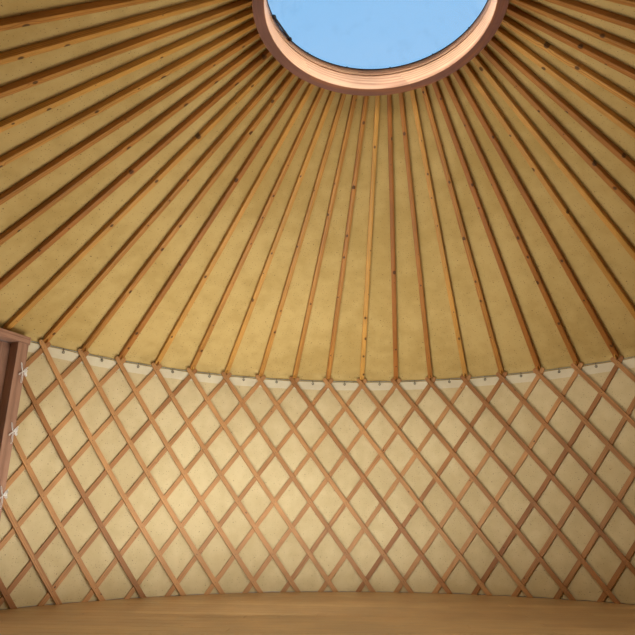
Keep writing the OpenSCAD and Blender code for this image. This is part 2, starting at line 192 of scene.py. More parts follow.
class Graph:
    """Short calls that lay nodes in a tree and feed them."""

    def __init__(self, tree: NodeTree) -> None:
        """Keeps the tree that the nodes go into."""
        self.tree = tree

    def feed(self, socket: NodeSocket, value: object) -> None:
        """Links a socket into an input, or writes a plain value there.

        Args:
            socket: the input.
            value: what goes into it; None leaves it alone.
        """
        if isinstance(value, NodeSocket):
            self.tree.links.new(value, socket)
        elif value is not None:
            socket.default_value = value

    def node(self, kind: str, *feeds: object, **settings: object) -> Node:
        """Adds a shader node.

        Args:
            kind: the node's type, without its ShaderNode prefix.
            feeds: what goes into the inputs, in their order.
            settings: the node's own properties.

        Returns:
            The node.
        """
        node = self.tree.nodes.new("ShaderNode" + kind)
        for name, value in settings.items():
            setattr(node, name, value)
        for socket, value in zip(node.inputs, feeds):
            self.feed(socket, value)
        return node

    def fill(self, node: Node, **feeds: object) -> Node:
        """Feeds a node's inputs by name.

        Args:
            node: the node.
            feeds: what goes into its inputs, with underscores for the spaces in their names.

        Returns:
            The node.
        """
        for name, value in feeds.items():
            self.feed(node.inputs[name.replace("_", " ")], value)
        return node

    def math(self, operation: str, *values: object) -> NodeSocket:
        """A Math node's result."""
        return self.node("Math", *values, operation=operation).outputs[0]

    def times(self, one: object, other: object) -> NodeSocket:
        """The product of two values."""
        return self.math("MULTIPLY", one, other)

    def vector(self, operation: str, *values: object) -> NodeSocket:
        """A Vector Math node's vector."""
        return self.node("VectorMath", *values, operation=operation).outputs[0]

    def length(self, value: object) -> NodeSocket:
        """The length of a vector."""
        return self.node("VectorMath", value, operation="LENGTH").outputs["Value"]

    def split(self, value: object) -> bpy.types.bpy_prop_collection:
        """The three parts of a vector."""
        return self.node("SeparateXYZ", value).outputs

    def join(self, *parts: object) -> NodeSocket:
        """A vector of three parts."""
        return self.node("CombineXYZ", *parts).outputs[0]

    def noise(self, place: object, scale: float, detail: float = 2.0) -> NodeSocket:
        """Smooth noise from 0 to 1, read at a place."""
        return self.fill(self.node("TexNoise"), Vector=place, Scale=scale, Detail=detail).outputs[0]

    def ease(
        self, value: object, low: object, high: object, start: float = 0.0, end: float = 1.0,
    ) -> NodeSocket:
        """A smooth step from a start to an end, while a value goes from low to high."""
        node = self.node("MapRange", value, low, high, start, end, interpolation_type="SMOOTHSTEP")
        return node.outputs[0]

    def mix(self, factor: object, one: object, other: object, blend: str = "MIX") -> NodeSocket:
        """Two colours mixed.

        Args:
            factor: the share of the second.
            one: the first colour.
            other: the second colour.
            blend: the way of mixing.

        Returns:
            The mixed colour.
        """
        node = self.node("Mix", data_type="RGBA", blend_type=blend)
        for index, value in ((0, factor), (6, one), (7, other)):
            if isinstance(value, tuple) and len(value) == 3:
                value = (*value, 1.0)
            self.feed(node.inputs[index], value)
        return node.outputs[2]

    def grey(self, value: object) -> NodeSocket:
        """A colour that is one value in all three parts."""
        return self.join(value, value, value)

    def effect(self, group: NodeTree, **feeds: object) -> bpy.types.bpy_prop_collection:
        """The outputs of a shared effect, with its inputs fed by name."""
        return self.fill(self.node("Group", node_tree=group), **feeds).outputs


class Effect(Graph):
    """A shared effect in the making: a node group with named inputs and outputs."""

    def __init__(self, name: str, inputs: dict[str, float | Colour], outputs: Sequence[str]) -> None:
        """Makes the group with its sockets.

        Args:
            name: the effect's name.
            inputs: each input's name and plain value; three numbers make a vector.
            outputs: the names of the values that it puts out.
        """
        super().__init__(bpy.data.node_groups.new(name, "ShaderNodeTree"))
        for label, value in inputs.items():
            kind = "NodeSocketVector" if isinstance(value, tuple) else "NodeSocketFloat"
            socket = self.tree.interface.new_socket(name=label, in_out="INPUT", socket_type=kind)
            socket.default_value = value
        for label in outputs:
            self.tree.interface.new_socket(name=label, in_out="OUTPUT", socket_type="NodeSocketFloat")
        self.given = self.tree.nodes.new("NodeGroupInput").outputs
        self.result = self.tree.nodes.new("NodeGroupOutput")

    def put(self, **results: object) -> NodeTree:
        """Feeds the outputs by name and gives the finished group."""
        self.fill(self.result, **results)
        return self.tree


def timber_figure() -> NodeTree:
    """Growth rings, fibre and knots of a bar of timber, on its own grain coordinates.

    Returns:
        The group.
    """
    inputs = {
        "Grain": (0.0, 0.0, 0.0), "Tone": 0.5, "Ring spacing": 0.006, "Waviness": 0.01,
        "Knots per metre": 2.5, "Knot size": 0.008,
    }
    g = Effect("timber figure", inputs, ("Rings", "Fibre", "Knot", "Height"))
    grain = g.given["Grain"]
    along, across, depth = g.split(grain)
    places = g.node("TexVoronoi", voronoi_dimensions="1D")
    g.fill(places, W=g.times(along, g.given["Knots per metre"]), Scale=1.0)
    chance, side, deep = g.split(places.outputs["Color"])
    knot_along = g.math("DIVIDE", places.outputs["W"], g.given["Knots per metre"])
    from_knot = g.length(g.join(
        g.times(g.math("SUBTRACT", along, knot_along), 0.7),
        g.math("SUBTRACT", across, g.math("MULTIPLY_ADD", side, 0.036, -0.018)),
        g.times(g.math("SUBTRACT", depth, g.math("MULTIPLY_ADD", deep, 0.05, -0.025)), 0.3),
    ))
    share = g.math("MAXIMUM", g.math("MULTIPLY_ADD", chance, 1.5, -0.35), 0.02)
    size = g.times(g.given["Knot size"], share)
    knot = g.ease(from_knot, g.times(size, 0.6), size, 1.0, 0.0)
    near = g.ease(from_knot, size, g.times(size, 3.2), 1.0, 0.0)
    wander = g.noise(g.vector("MULTIPLY", grain, (0.9, 7.0, 7.0)), 1.0)
    pith_across = g.math("MULTIPLY_ADD", g.given["Tone"], 0.16, -0.08)
    scatter = g.math("FRACT", g.times(g.given["Tone"], 7.3))
    pith_depth = g.math("MULTIPLY_ADD", scatter, -0.05, -0.02)
    from_pith = g.length(g.join(
        0.0, g.math("SUBTRACT", across, pith_across), g.math("SUBTRACT", depth, pith_depth),
    ))
    bent = g.math("MULTIPLY_ADD", g.math("SUBTRACT", wander, 0.5), g.given["Waviness"], from_pith)
    bent = g.math("MULTIPLY_ADD", near, 0.004, bent)
    wave = g.math("SINE", g.math("DIVIDE", g.times(bent, TURN), g.given["Ring spacing"]))
    rings = g.math("POWER", g.math("MULTIPLY_ADD", wave, 0.5, 0.5), 2.0)
    fibre = g.noise(g.vector("MULTIPLY", grain, (9.0, 420.0, 420.0)), 1.0)
    height = g.math("ADD", g.times(rings, 0.25), g.times(fibre, 0.6))
    height = g.math("SUBTRACT", height, g.times(knot, 0.3))
    return g.put(Rings=rings, Fibre=fibre, Knot=knot, Height=height)


def cloth_figure() -> NodeTree:
    """Mottle, flecks, puckers and weave of a sewn cloth.

    Returns:
        The group.
    """
    inputs = {"Place": (0.0, 0.0, 0.0), "Surface": (0.0, 0.0, 0.0), "Fleck spacing": 0.09, "Thread": 0.002}
    g = Effect("cloth figure", inputs, ("Mottle", "Fleck", "Height"))
    place, surface = g.given["Place"], g.given["Surface"]
    broad, close = g.noise(place, 1.4, 3.0), g.noise(place, 9.0, 3.0)
    mottle = g.math("ADD", g.times(broad, 0.6), g.times(close, 0.4))
    flecks: list[NodeSocket] = []
    for share, size, rarity in ((1.0, 0.075, 0.5), (0.3, 0.16, 0.45)):
        scale = g.math("DIVIDE", 1.0 / share, g.given["Fleck spacing"])
        spots = g.node("TexVoronoi", voronoi_dimensions="2D")
        g.fill(spots, Vector=surface, Scale=scale)
        chance, spread, _ = g.split(spots.outputs["Color"])
        reach = g.times(spread, size)
        spot = g.ease(spots.outputs["Distance"], g.times(reach, 0.6), reach, 1.0, 0.0)
        flecks.append(g.times(spot, g.math("GREATER_THAN", chance, rarity)))
    fleck = g.math("MAXIMUM", *flecks)
    u, v, _ = g.split(surface)
    pitch = g.math("DIVIDE", TURN, g.given["Thread"])
    warp, weft = (g.math("SINE", g.times(way, pitch)) for way in (u, v))
    weave = g.times(warp, weft)
    height = g.math("ADD", g.noise(place, 22.0, 4.0), g.times(weave, 0.08))
    height = g.math("ADD", height, g.times(fleck, 0.15))
    return g.put(Mottle=mottle, Fleck=fleck, Height=height)


def surface_wear() -> NodeTree:
    """Dust and rubbed places on metal, rubber and clear sheet.

    Returns:
        The group.
    """
    inputs = {"Place": (0.0, 0.0, 0.0), "Size": 0.05, "Stretch": (1.0, 1.0, 1.0)}
    g = Effect("surface wear", inputs, ("Dust", "Streak", "Height"))
    place = g.vector("DIVIDE", g.given["Place"], g.grey(g.given["Size"]))
    dust = g.noise(place, 1.0, 4.0)
    streak = g.noise(g.vector("MULTIPLY", place, g.given["Stretch"]), 8.0, 2.0)
    return g.put(Dust=dust, Streak=streak, Height=g.math("ADD", g.times(dust, 0.4), streak))


EFFECTS: dict[str, NodeTree] = {}


def shared(make: Callable[[], NodeTree]) -> NodeTree:
    """A shared effect, made the first time that it is asked for.

    Args:
        make: the function that makes it.

    Returns:
        The group.
    """
    if make.__name__ not in EFFECTS:
        EFFECTS[make.__name__] = make()
    return EFFECTS[make.__name__]


def blank_finish(name: str) -> tuple[Material, Graph, Node]:
    """A material with only its shader.

    Args:
        name: the finish's name.

    Returns:
        The material, a graph on its nodes and its Principled shader.
    """
    material = bpy.data.materials.new(name)
    material.use_nodes = True
    shader = material.node_tree.nodes["Principled BSDF"]
    return material, Graph(material.node_tree), shader


def relief(g: Graph, shader: Node, height: NodeSocket, depth: float) -> None:
    """Feeds a height into the shader's normal, where a height of 1 stands for a real depth."""
    bump = g.fill(g.node("Bump"), Strength=0.6, Distance=depth, Height=height)
    g.fill(shader, Normal=bump.outputs[0])


@dataclass(frozen=True)
class TimberFinish:
    """Planed and oiled timber, with rings, fibre, knots and a tone that differs from bar to bar."""

    name: str
    pale: Colour
    deep: Colour
    late: Colour
    knot: Colour
    late_share: float = 0.45
    ring_spacing: float = 0.006
    waviness: float = 0.012
    knots_per_metre: float = 2.6
    knot_size: float = 0.008
    roughness: float = 0.5
    grime: float = 0.12

    def build(self) -> Material:
        """Makes the material.

        Returns:
            The material.
        """
        material, g, shader = blank_finish(self.name)
        grain = g.node("Attribute", attribute_name="grain").outputs["Vector"]
        tone = g.node("Attribute", attribute_name="tone").outputs["Fac"]
        place = g.node("TexCoord").outputs["Object"]
        figure = g.effect(
            shared(timber_figure), Grain=grain, Tone=tone, Ring_spacing=self.ring_spacing,
            Waviness=self.waviness, Knots_per_metre=self.knots_per_metre, Knot_size=self.knot_size,
        )
        colour = g.mix(tone, self.pale, self.deep)
        colour = g.mix(g.times(figure["Rings"], self.late_share), colour, self.late)
        fibre = g.ease(figure["Fibre"], 0.3, 0.7, 0.82, 1.1)
        colour = g.mix(1.0, colour, g.grey(fibre), "MULTIPLY")
        colour = g.mix(g.times(figure["Knot"], 0.85), colour, self.knot)
        cloud = g.ease(g.noise(place, 3.0, 3.0), 0.3, 0.7, 1.0 - self.grime, 1.0 + self.grime)
        colour = g.mix(1.0, colour, g.grey(cloud), "MULTIPLY")
        rough = g.math("MULTIPLY_ADD", figure["Fibre"], 0.25, self.roughness - 0.12)
        rough = g.math("SUBTRACT", rough, g.times(figure["Knot"], 0.15))
        g.fill(shader, Base_Color=colour, Roughness=rough)
        relief(g, shader, figure["Height"], 0.5 * MM)
        return material


@dataclass(frozen=True)
class ClothFinish:
    """Woven cloth with mottle, sparse flecks and fine puckers."""

    name: str
    pale: Colour
    deep: Colour
    fleck: Colour
    fleck_spacing: float = 0.09
    fleck_strength: float = 0.7
    thread: float = 0.002
    crumple: float = 2.5 * MM
    roughness: float = 0.85
    sheen: float = 0.15

    def build(self) -> Material:
        """Makes the material.

        Returns:
            The material.
        """
        material, g, shader = blank_finish(self.name)
        place = g.node("TexCoord").outputs["Object"]
        surface = g.node("Attribute", attribute_name="grain").outputs["Vector"]
        figure = g.effect(
            shared(cloth_figure), Place=place, Surface=surface,
            Fleck_spacing=self.fleck_spacing, Thread=self.thread,
        )
        colour = g.mix(g.ease(figure["Mottle"], 0.35, 0.65), self.deep, self.pale)
        colour = g.mix(g.times(figure["Fleck"], self.fleck_strength), colour, self.fleck)
        rough = g.math("MULTIPLY_ADD", figure["Mottle"], 0.15, self.roughness - 0.08)
        g.fill(shader, Base_Color=colour, Roughness=rough, Sheen_Weight=self.sheen)
        relief(g, shader, figure["Height"], self.crumple)
        return material


@dataclass(frozen=True)
class HardFinish:
    """Metal or rubber with a fine streak and a little dust."""

    name: str
    colour: Colour
    worn: Colour
    metallic: float = 1.0
    roughness: float = 0.35
    size: float = 0.02
    stretch: tuple[float, float, float] = (1.0, 1.0, 12.0)

    def build(self) -> Material:
        """Makes the material.

        Returns:
            The material.
        """
        material, g, shader = blank_finish(self.name)
        place = g.node("TexCoord").outputs["Object"]
        wear = g.effect(shared(surface_wear), Place=place, Size=self.size, Stretch=self.stretch)
        colour = g.mix(g.ease(wear["Dust"], 0.45, 0.75), self.colour, self.worn)
        rough = g.math("MULTIPLY_ADD", wear["Streak"], 0.3, self.roughness - 0.15)
        g.fill(shader, Base_Color=colour, Roughness=rough, Metallic=self.metallic)
        relief(g, shader, wear["Height"], 0.1 * MM)
        return material


@dataclass(frozen=True)
class ClearFinish:
    """Clear sheet or glass with faint dust."""

    name: str
    tint: Colour
    dusty: Colour
    index: float = 1.45
    haze: float = 0.05

    def build(self) -> Material:
        """Makes the material.

        Returns:
            The material.
        """
        material, g, shader = blank_finish(self.name)
        place = g.node("TexCoord").outputs["Object"]
        wear = g.effect(shared(surface_wear), Place=place, Size=0.12)
        dust = g.ease(wear["Dust"], 0.5, 0.8)
        colour, rough = g.mix(dust, self.tint, self.dusty), g.times(dust, self.haze)
        g.fill(shader, Base_Color=colour, Roughness=rough, IOR=self.index, Transmission_Weight=1.0)
        return material


class Finishes:
    """Every finish of the yurt, made once."""

    def __init__(self) -> None:
        """Makes the materials."""
        brown_knot = (0.07, 0.03, 0.012)
        self.floor = TimberFinish(
            "oiled floor boards", (0.47, 0.30, 0.125), (0.38, 0.225, 0.09), (0.25, 0.13, 0.045), brown_knot,
            late_share=0.4, ring_spacing=0.009, waviness=0.03, knots_per_metre=1.6, knot_size=0.011,
            roughness=0.42,
        ).build()
        self.lattice = TimberFinish(
            "planed lattice slats", (0.50, 0.26, 0.095), (0.31, 0.135, 0.045), (0.18, 0.07, 0.022),
            brown_knot, ring_spacing=0.005, knot_size=0.007,
        ).build()
        self.rafter = TimberFinish(
            "planed rafters", (0.58, 0.315, 0.065), (0.30, 0.105, 0.018), (0.22, 0.065, 0.011),
            (0.035, 0.012, 0.005), late_share=0.55, knots_per_metre=4.5, knot_size=0.015, roughness=0.45,
        ).build()
        # The crown's deep colour is painted shade for the ring's underside; its pale colour is the painted
        # lit tone of the rest.
        self.crown = TimberFinish(
            "laminated crown", (0.66, 0.38, 0.19), (0.21, 0.095, 0.07), (0.33, 0.13, 0.055), brown_knot,
            late_share=0.75, ring_spacing=0.014, waviness=0.05, knots_per_metre=0.8, knot_size=0.006,
            roughness=0.4,
        ).build()
        self.door = TimberFinish(
            "oiled door timber", (0.36, 0.20, 0.125), (0.27, 0.14, 0.085), (0.15, 0.07, 0.04), brown_knot,
            ring_spacing=0.007, knots_per_metre=0.8, knot_size=0.006, roughness=0.45,
        ).build()
        self.liner = ClothFinish(
            "flecked roof liner", (0.50, 0.355, 0.125), (0.40, 0.27, 0.08), (0.09, 0.05, 0.015),
            fleck_spacing=0.07, fleck_strength=0.85,
        ).build()
        self.wall_liner = ClothFinish(
            "flecked wall liner", (0.58, 0.47, 0.25), (0.48, 0.375, 0.185), (0.13, 0.085, 0.04),
            fleck_spacing=0.07,
        ).build()
        self.hem = ClothFinish(
            "whitish hem band", (0.64, 0.57, 0.38), (0.55, 0.48, 0.31), (0.36, 0.30, 0.19),
            fleck_strength=0.3, crumple=1.5 * MM,
        ).build()
        self.canvas = ClothFinish(
            "outer canvas", (0.70, 0.65, 0.53), (0.62, 0.565, 0.45), (0.38, 0.33, 0.25), fleck_spacing=0.2,
            fleck_strength=0.4, thread=0.003, crumple=3 * MM,
        ).build()
        self.felt = ClothFinish(
            "wool felt", (0.50, 0.46, 0.40), (0.42, 0.385, 0.33), (0.28, 0.24, 0.20), fleck_spacing=0.04,
            thread=0.006, crumple=4 * MM, roughness=0.95,
        ).build()
        self.lashing = ClothFinish(
            "white lashing cord", (0.78, 0.75, 0.68), (0.66, 0.62, 0.54), (0.4, 0.36, 0.3),
            fleck_strength=0.2, thread=0.0015, crumple=0.6 * MM,
        ).build()
        self.steel = HardFinish("brushed steel", (0.56, 0.56, 0.56), (0.44, 0.43, 0.42)).build()
        self.cable = HardFinish(
            "laid steel cable", (0.36, 0.39, 0.33), (0.24, 0.26, 0.22),
            metallic=0.4, roughness=0.5, size=0.01,
        ).build()
        self.dark = HardFinish(
            "black hardware", (0.02, 0.02, 0.022), (0.05, 0.05, 0.05), metallic=0.0, roughness=0.45,
        ).build()
        self.rubber = HardFinish(
            "seal rubber", (0.015, 0.015, 0.016), (0.04, 0.04, 0.038), metallic=0.0, roughness=0.75,
        ).build()
        self.dome = ClearFinish(
            "clear dome sheet", (0.97, 0.985, 1.0), (0.90, 0.93, 0.96), index=1.49,
        ).build()
        self.glass = ClearFinish(
            "door glass", (0.96, 0.98, 0.98), (0.90, 0.92, 0.92), index=1.5, haze=0.03,
        ).build()


def everything(part: BMesh) -> list[object]:
    """All vertices, edges and faces of a part, as the operators take them."""
    return part.verts[:] + part.edges[:] + part.faces[:]


def only(kind: type, items: Iterable[object]) -> list[object]:
    """The items of one kind, out of what an operator made."""
    return [item for item in items if isinstance(item, kind)]


def lies_level(edge: BMEdge) -> bool:
    """Whether an edge runs level."""
    return abs(edge.verts[0].co.z - edge.verts[1].co.z) < TINY


def soften(part: BMesh, edges: Sequence[BMEdge], offset: float, segments: int = 1) -> None:
    """Cuts back or rounds some edges of a part.

    Args:
        part: the part.
        edges: the edges.
        offset: how far they are cut back.
        segments: how many facets each gets.
    """
    bmesh.ops.bevel(
        part, geom=edges, offset=offset, offset_type="OFFSET", segments=segments, profile=0.5,
        affect="EDGES", material=-1,
    )


def block(size: Sequence[float]) -> BMesh:
    """A plain block about the origin.

    Args:
        size: its size along x, y and z.

    Returns:
        The closed block.
    """
    part = bmesh.new()
    bmesh.ops.create_cube(part, size=1.0)
    bmesh.ops.scale(part, vec=size, verts=part.verts)
    return part


def move(part: BMesh, by: Sequence[float]) -> None:
    """Moves a whole part."""
    bmesh.ops.translate(part, vec=by, verts=part.verts)


def planed_bar(length: float, width: float, depth: float, arris: float = 2 * MM, segments: int = 1) -> BMesh:
    """A bar along x from the origin, centred across, with its underside at z = 0.

    Args:
        length: its length.
        width: its width.
        depth: its depth.
        arris: how far its edges are eased.
        segments: how many facets each eased edge gets.

    Returns:
        The closed bar.
    """
    part = block((length, width, depth))
    move(part, (length / 2, 0.0, depth / 2))
    if arris > 0:
        soften(part, part.edges[:], arris, segments)
    return part


def moulding(profile: Sequence[Pair], length: float, arris: float = 1.5 * MM) -> BMesh:
    """A bar along x from the origin, with a drawn section in y and z.

    Args:
        profile: the section's corners, in order round it.
        length: the bar's length.
        arris: how far its edges are eased.

    Returns:
        The closed bar.
    """
    part = bmesh.new()
    corners = [part.verts.new((0.0, y, z)) for y, z in profile]
    end = part.faces.new(corners)
    moved = bmesh.ops.extrude_face_region(part, geom=[end])["geom"]
    bmesh.ops.translate(part, vec=(length, 0.0, 0.0), verts=only(BMVert, moved))
    bmesh.ops.recalc_face_normals(part, faces=part.faces)
    if arris > 0:
        soften(part, part.edges[:], arris)
    return part


def eased(low: Pair, high: Pair, ease: float) -> list[Pair]:
    """The corners of an upright rectangle with its corners cut back by an ease."""
    (x0, z0), (x1, z1) = low, high
    return [
        (x0 + ease, z0), (x1 - ease, z0), (x1, z0 + ease), (x1, z1 - ease),
        (x1 - ease, z1), (x0 + ease, z1), (x0, z1 - ease), (x0, z0 + ease),
    ]


def spun(
    profile: Sequence[Pair], steps: int, start: float = 0.0, sweep: float = TURN, closed: bool = True,
) -> BMesh:
    """A solid of revolution about the yurt's axis.

    Args:
        profile: radius and height of the section's corners, in order.
        steps: how many steps the sweep takes.
        start: the angle that it starts at.
        sweep: the angle that it turns through.
        closed: False where the section starts and ends on the axis.

    Returns:
        The closed solid.
    """
    part = bmesh.new()
    corners = [part.verts.new((radius, 0.0, height)) for radius, height in profile]
    whole = abs(sweep - TURN) < TINY
    edges = [part.edges.new(pair) for pair in zip(corners, corners[1:])]
    if closed:
        edges.append(part.edges.new((corners[-1], corners[0])))
    geometry: list[object] = corners + edges
    if not whole:
        geometry.append(part.faces.new(corners))
    bmesh.ops.rotate(part, verts=part.verts, cent=(0, 0, 0), matrix=Matrix.Rotation(start, 3, "Z"))
    bmesh.ops.spin(
        part, geom=geometry, cent=(0, 0, 0), axis=(0, 0, 1), dvec=(0, 0, 0), angle=sweep, steps=steps,
        use_merge=whole, use_normal_flip=False, use_duplicate=False,
    )
    bmesh.ops.remove_doubles(part, verts=part.verts, dist=TINY)
    bmesh.ops.recalc_face_normals(part, faces=part.faces)
    return part


def round_bar(radius: float, length: float, sides: int = 24, ease: float = 0.0) -> BMesh:
    """A round bar along x from the origin.

    Args:
        radius: its radius.
        length: its length.
        sides: how many sides it has.
        ease: how far the edges of its ends are rounded.

    Returns:
        The closed bar.
    """
    part = bmesh.new()
    bmesh.ops.create_cone(
        part, cap_ends=True, cap_tris=False, segments=sides, radius1=radius, radius2=radius, depth=length,
    )
    if ease > 0:
        soften(part, [edge for edge in part.edges if lies_level(edge)], ease, 3)
    bmesh.ops.rotate(part, verts=part.verts, cent=(0, 0, 0), matrix=Matrix.Rotation(TURN / 4, 3, "Y"))
    move(part, (length / 2, 0.0, 0.0))
    return part


def bent_rod(path: Sequence[Vector], radius: float, sides: int = 6) -> BMesh:
    """A round rod along a path, drawn out ring by ring.

    Args:
        path: the points of its middle line.
        radius: its radius.
        sides: how many sides it has.

    Returns:
        The closed rod.
    """
    part = bmesh.new()
    ring = bmesh.ops.create_circle(part, cap_ends=True, segments=sides, radius=radius)["verts"]
    ahead = (path[1] - path[0]).normalized()
    turn = UP.rotation_difference(ahead).to_matrix()
    bmesh.ops.rotate(part, verts=ring, cent=(0, 0, 0), matrix=turn)
    bmesh.ops.translate(part, verts=ring, vec=path[0])
    edges = [edge for edge in part.edges if edge.is_boundary]
    for index in range(1, len(path)):
        drawn = bmesh.ops.extrude_edge_only(part, edges=edges)["geom"]
        ring, edges = only(BMVert, drawn), only(BMEdge, drawn)
        bmesh.ops.translate(part, verts=ring, vec=path[index] - path[index - 1])
        after = (path[min(index + 1, len(path) - 1)] - path[index - 1]).normalized()
        turn = ahead.rotation_difference(after).to_matrix()
        bmesh.ops.rotate(part, verts=ring, cent=path[index], matrix=turn)
        ahead = after
    bmesh.ops.edgeloop_fill(part, edges=edges)
    bmesh.ops.recalc_face_normals(part, faces=part.faces)
    return part


def trim(part: BMesh, point: Vector, away: Vector) -> None:
    """Cuts a closed part at a plane, takes off one side and closes the cut.

    Args:
        part: the part.
        point: a point on the plane.
        away: points to the side that is taken off.
    """
    made = bmesh.ops.bisect_plane(
        part, geom=everything(part), plane_co=point, plane_no=away, clear_outer=True, dist=TINY,
    )
    edges = [edge for edge in only(BMEdge, made["geom_cut"]) if edge.is_boundary]
    if edges:
        bmesh.ops.holes_fill(part, edges=edges, sides=0)


def slice_along(part: BMesh, length: float, steps: int) -> None:
    """Divides a part into equal steps along x, so that it can be bent.

    Args:
        part: the part.
        length: its length.
        steps: how many steps it gets.
    """
    for step in range(1, steps):
        at = (length * step / steps, 0, 0)
        bmesh.ops.bisect_plane(part, geom=everything(part), plane_co=at, plane_no=RIGHT)


def grain_and_tone(part: BMesh) -> tuple[object, object]:
    """New layers for a part's own coordinates and its tone, which its finish reads."""
    return part.verts.layers.float_vector.new("grain"), part.verts.layers.float.new("tone")


def stamp(part: BMesh, tone: float = MIDDLE_TONE, shift: float = 0.0) -> BMesh:
    """Writes a part's own coordinates and tone into it, before it is put in place.

    Args:
        part: the part.
        tone: its tone, from 0 for the pale colour to 1 for the deep one.
        shift: how far its grain is shifted along it.

    Returns:
        The part.
    """
    grain, shade = grain_and_tone(part)
    for vert in part.verts:
        vert[grain] = vert.co + Vector((shift, 0.0, 0.0))
        vert[shade] = tone
    return part


def stamp_by_chance(part: BMesh, chance: random.Random, reach: float = 40.0) -> BMesh:
    """Stamps a part with a tone of its own, and a shift of up to a reach."""
    return stamp(part, chance.random(), chance.uniform(0, reach))


def seat(origin: Vector, along: Vector, across: Vector) -> Matrix:
    """The matrix that puts a part in its place.

    Args:
        origin: where its origin goes.
        along: where its x points.
        across: where its y points.

    Returns:
        The matrix.
    """
    x = along.normalized()
    z = x.cross(across).normalized()
    matrix = Matrix((x, z.cross(x), z)).transposed().to_4x4()
    matrix.translation = origin
    return matrix


def put(part: BMesh, origin: Vector, along: Vector, across: Vector) -> BMesh:
    """Moves a part to its place."""
    bmesh.ops.transform(part, matrix=seat(origin, along, across), verts=part.verts)
    return part


class Piece:
    """One named piece of the scene, joined from parts that are shaped one at a time."""

    def __init__(self, name: str) -> None:
        """Starts an empty piece.

        Args:
            name: its name.
        """
        self.name = name
        self.mesh = bmesh.new()
        grain_and_tone(self.mesh)
        self.finishes: list[Material] = []

    def take(self, part: BMesh, finish: Material) -> None:
        """Joins a part in its place to the piece, and frees it.

        Args:
            part: the part.
            finish: its finish.
        """
        if finish not in self.finishes:
            self.finishes.append(finish)
        index = self.finishes.index(finish)
        for face in part.faces:
            face.material_index = index
        scratch = bpy.data.meshes.new("part")
        part.to_mesh(scratch)
        part.free()
        self.mesh.from_mesh(scratch)
        bpy.data.meshes.remove(scratch)

    def fit(
        self, part: BMesh, finish: Material, origin: Vector, along: Vector, across: Vector,
    ) -> None:
        """Stamps a plain part, puts it in its place and joins it."""
        self.take(put(stamp(part), origin, along, across), finish)

    def publish(
        self, slot: Slot, stands_for: Iterable[str] = (), crease: float = 32.0, body: Body = Body.YURT,
    ) -> Object:
        """Makes the piece an object of the scene.

        Args:
            slot: not used.
            stands_for: the solids that it is shown in place of.
            crease: the angle in degrees past which an edge stays sharp.
            body: the body that it rides on.

        Returns:
            The object.
        """
        mesh = bpy.data.meshes.new(self.name)
        self.mesh.to_mesh(mesh)
        self.mesh.free()
        for finish in self.finishes:
            mesh.materials.append(finish)
        mesh.polygons.foreach_set("use_smooth", [True] * len(mesh.polygons))
        mesh.set_sharp_from_angle(angle=math.radians(crease))
        piece = bpy.data.objects.new(self.name, mesh)
        bpy.context.scene.collection.objects.link(piece)
        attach(piece, body.value)
        names = list(stands_for)
        if names:
            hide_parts(*names)
        LOG.info("%s: %d faces", self.name, len(mesh.polygons))
        return piece


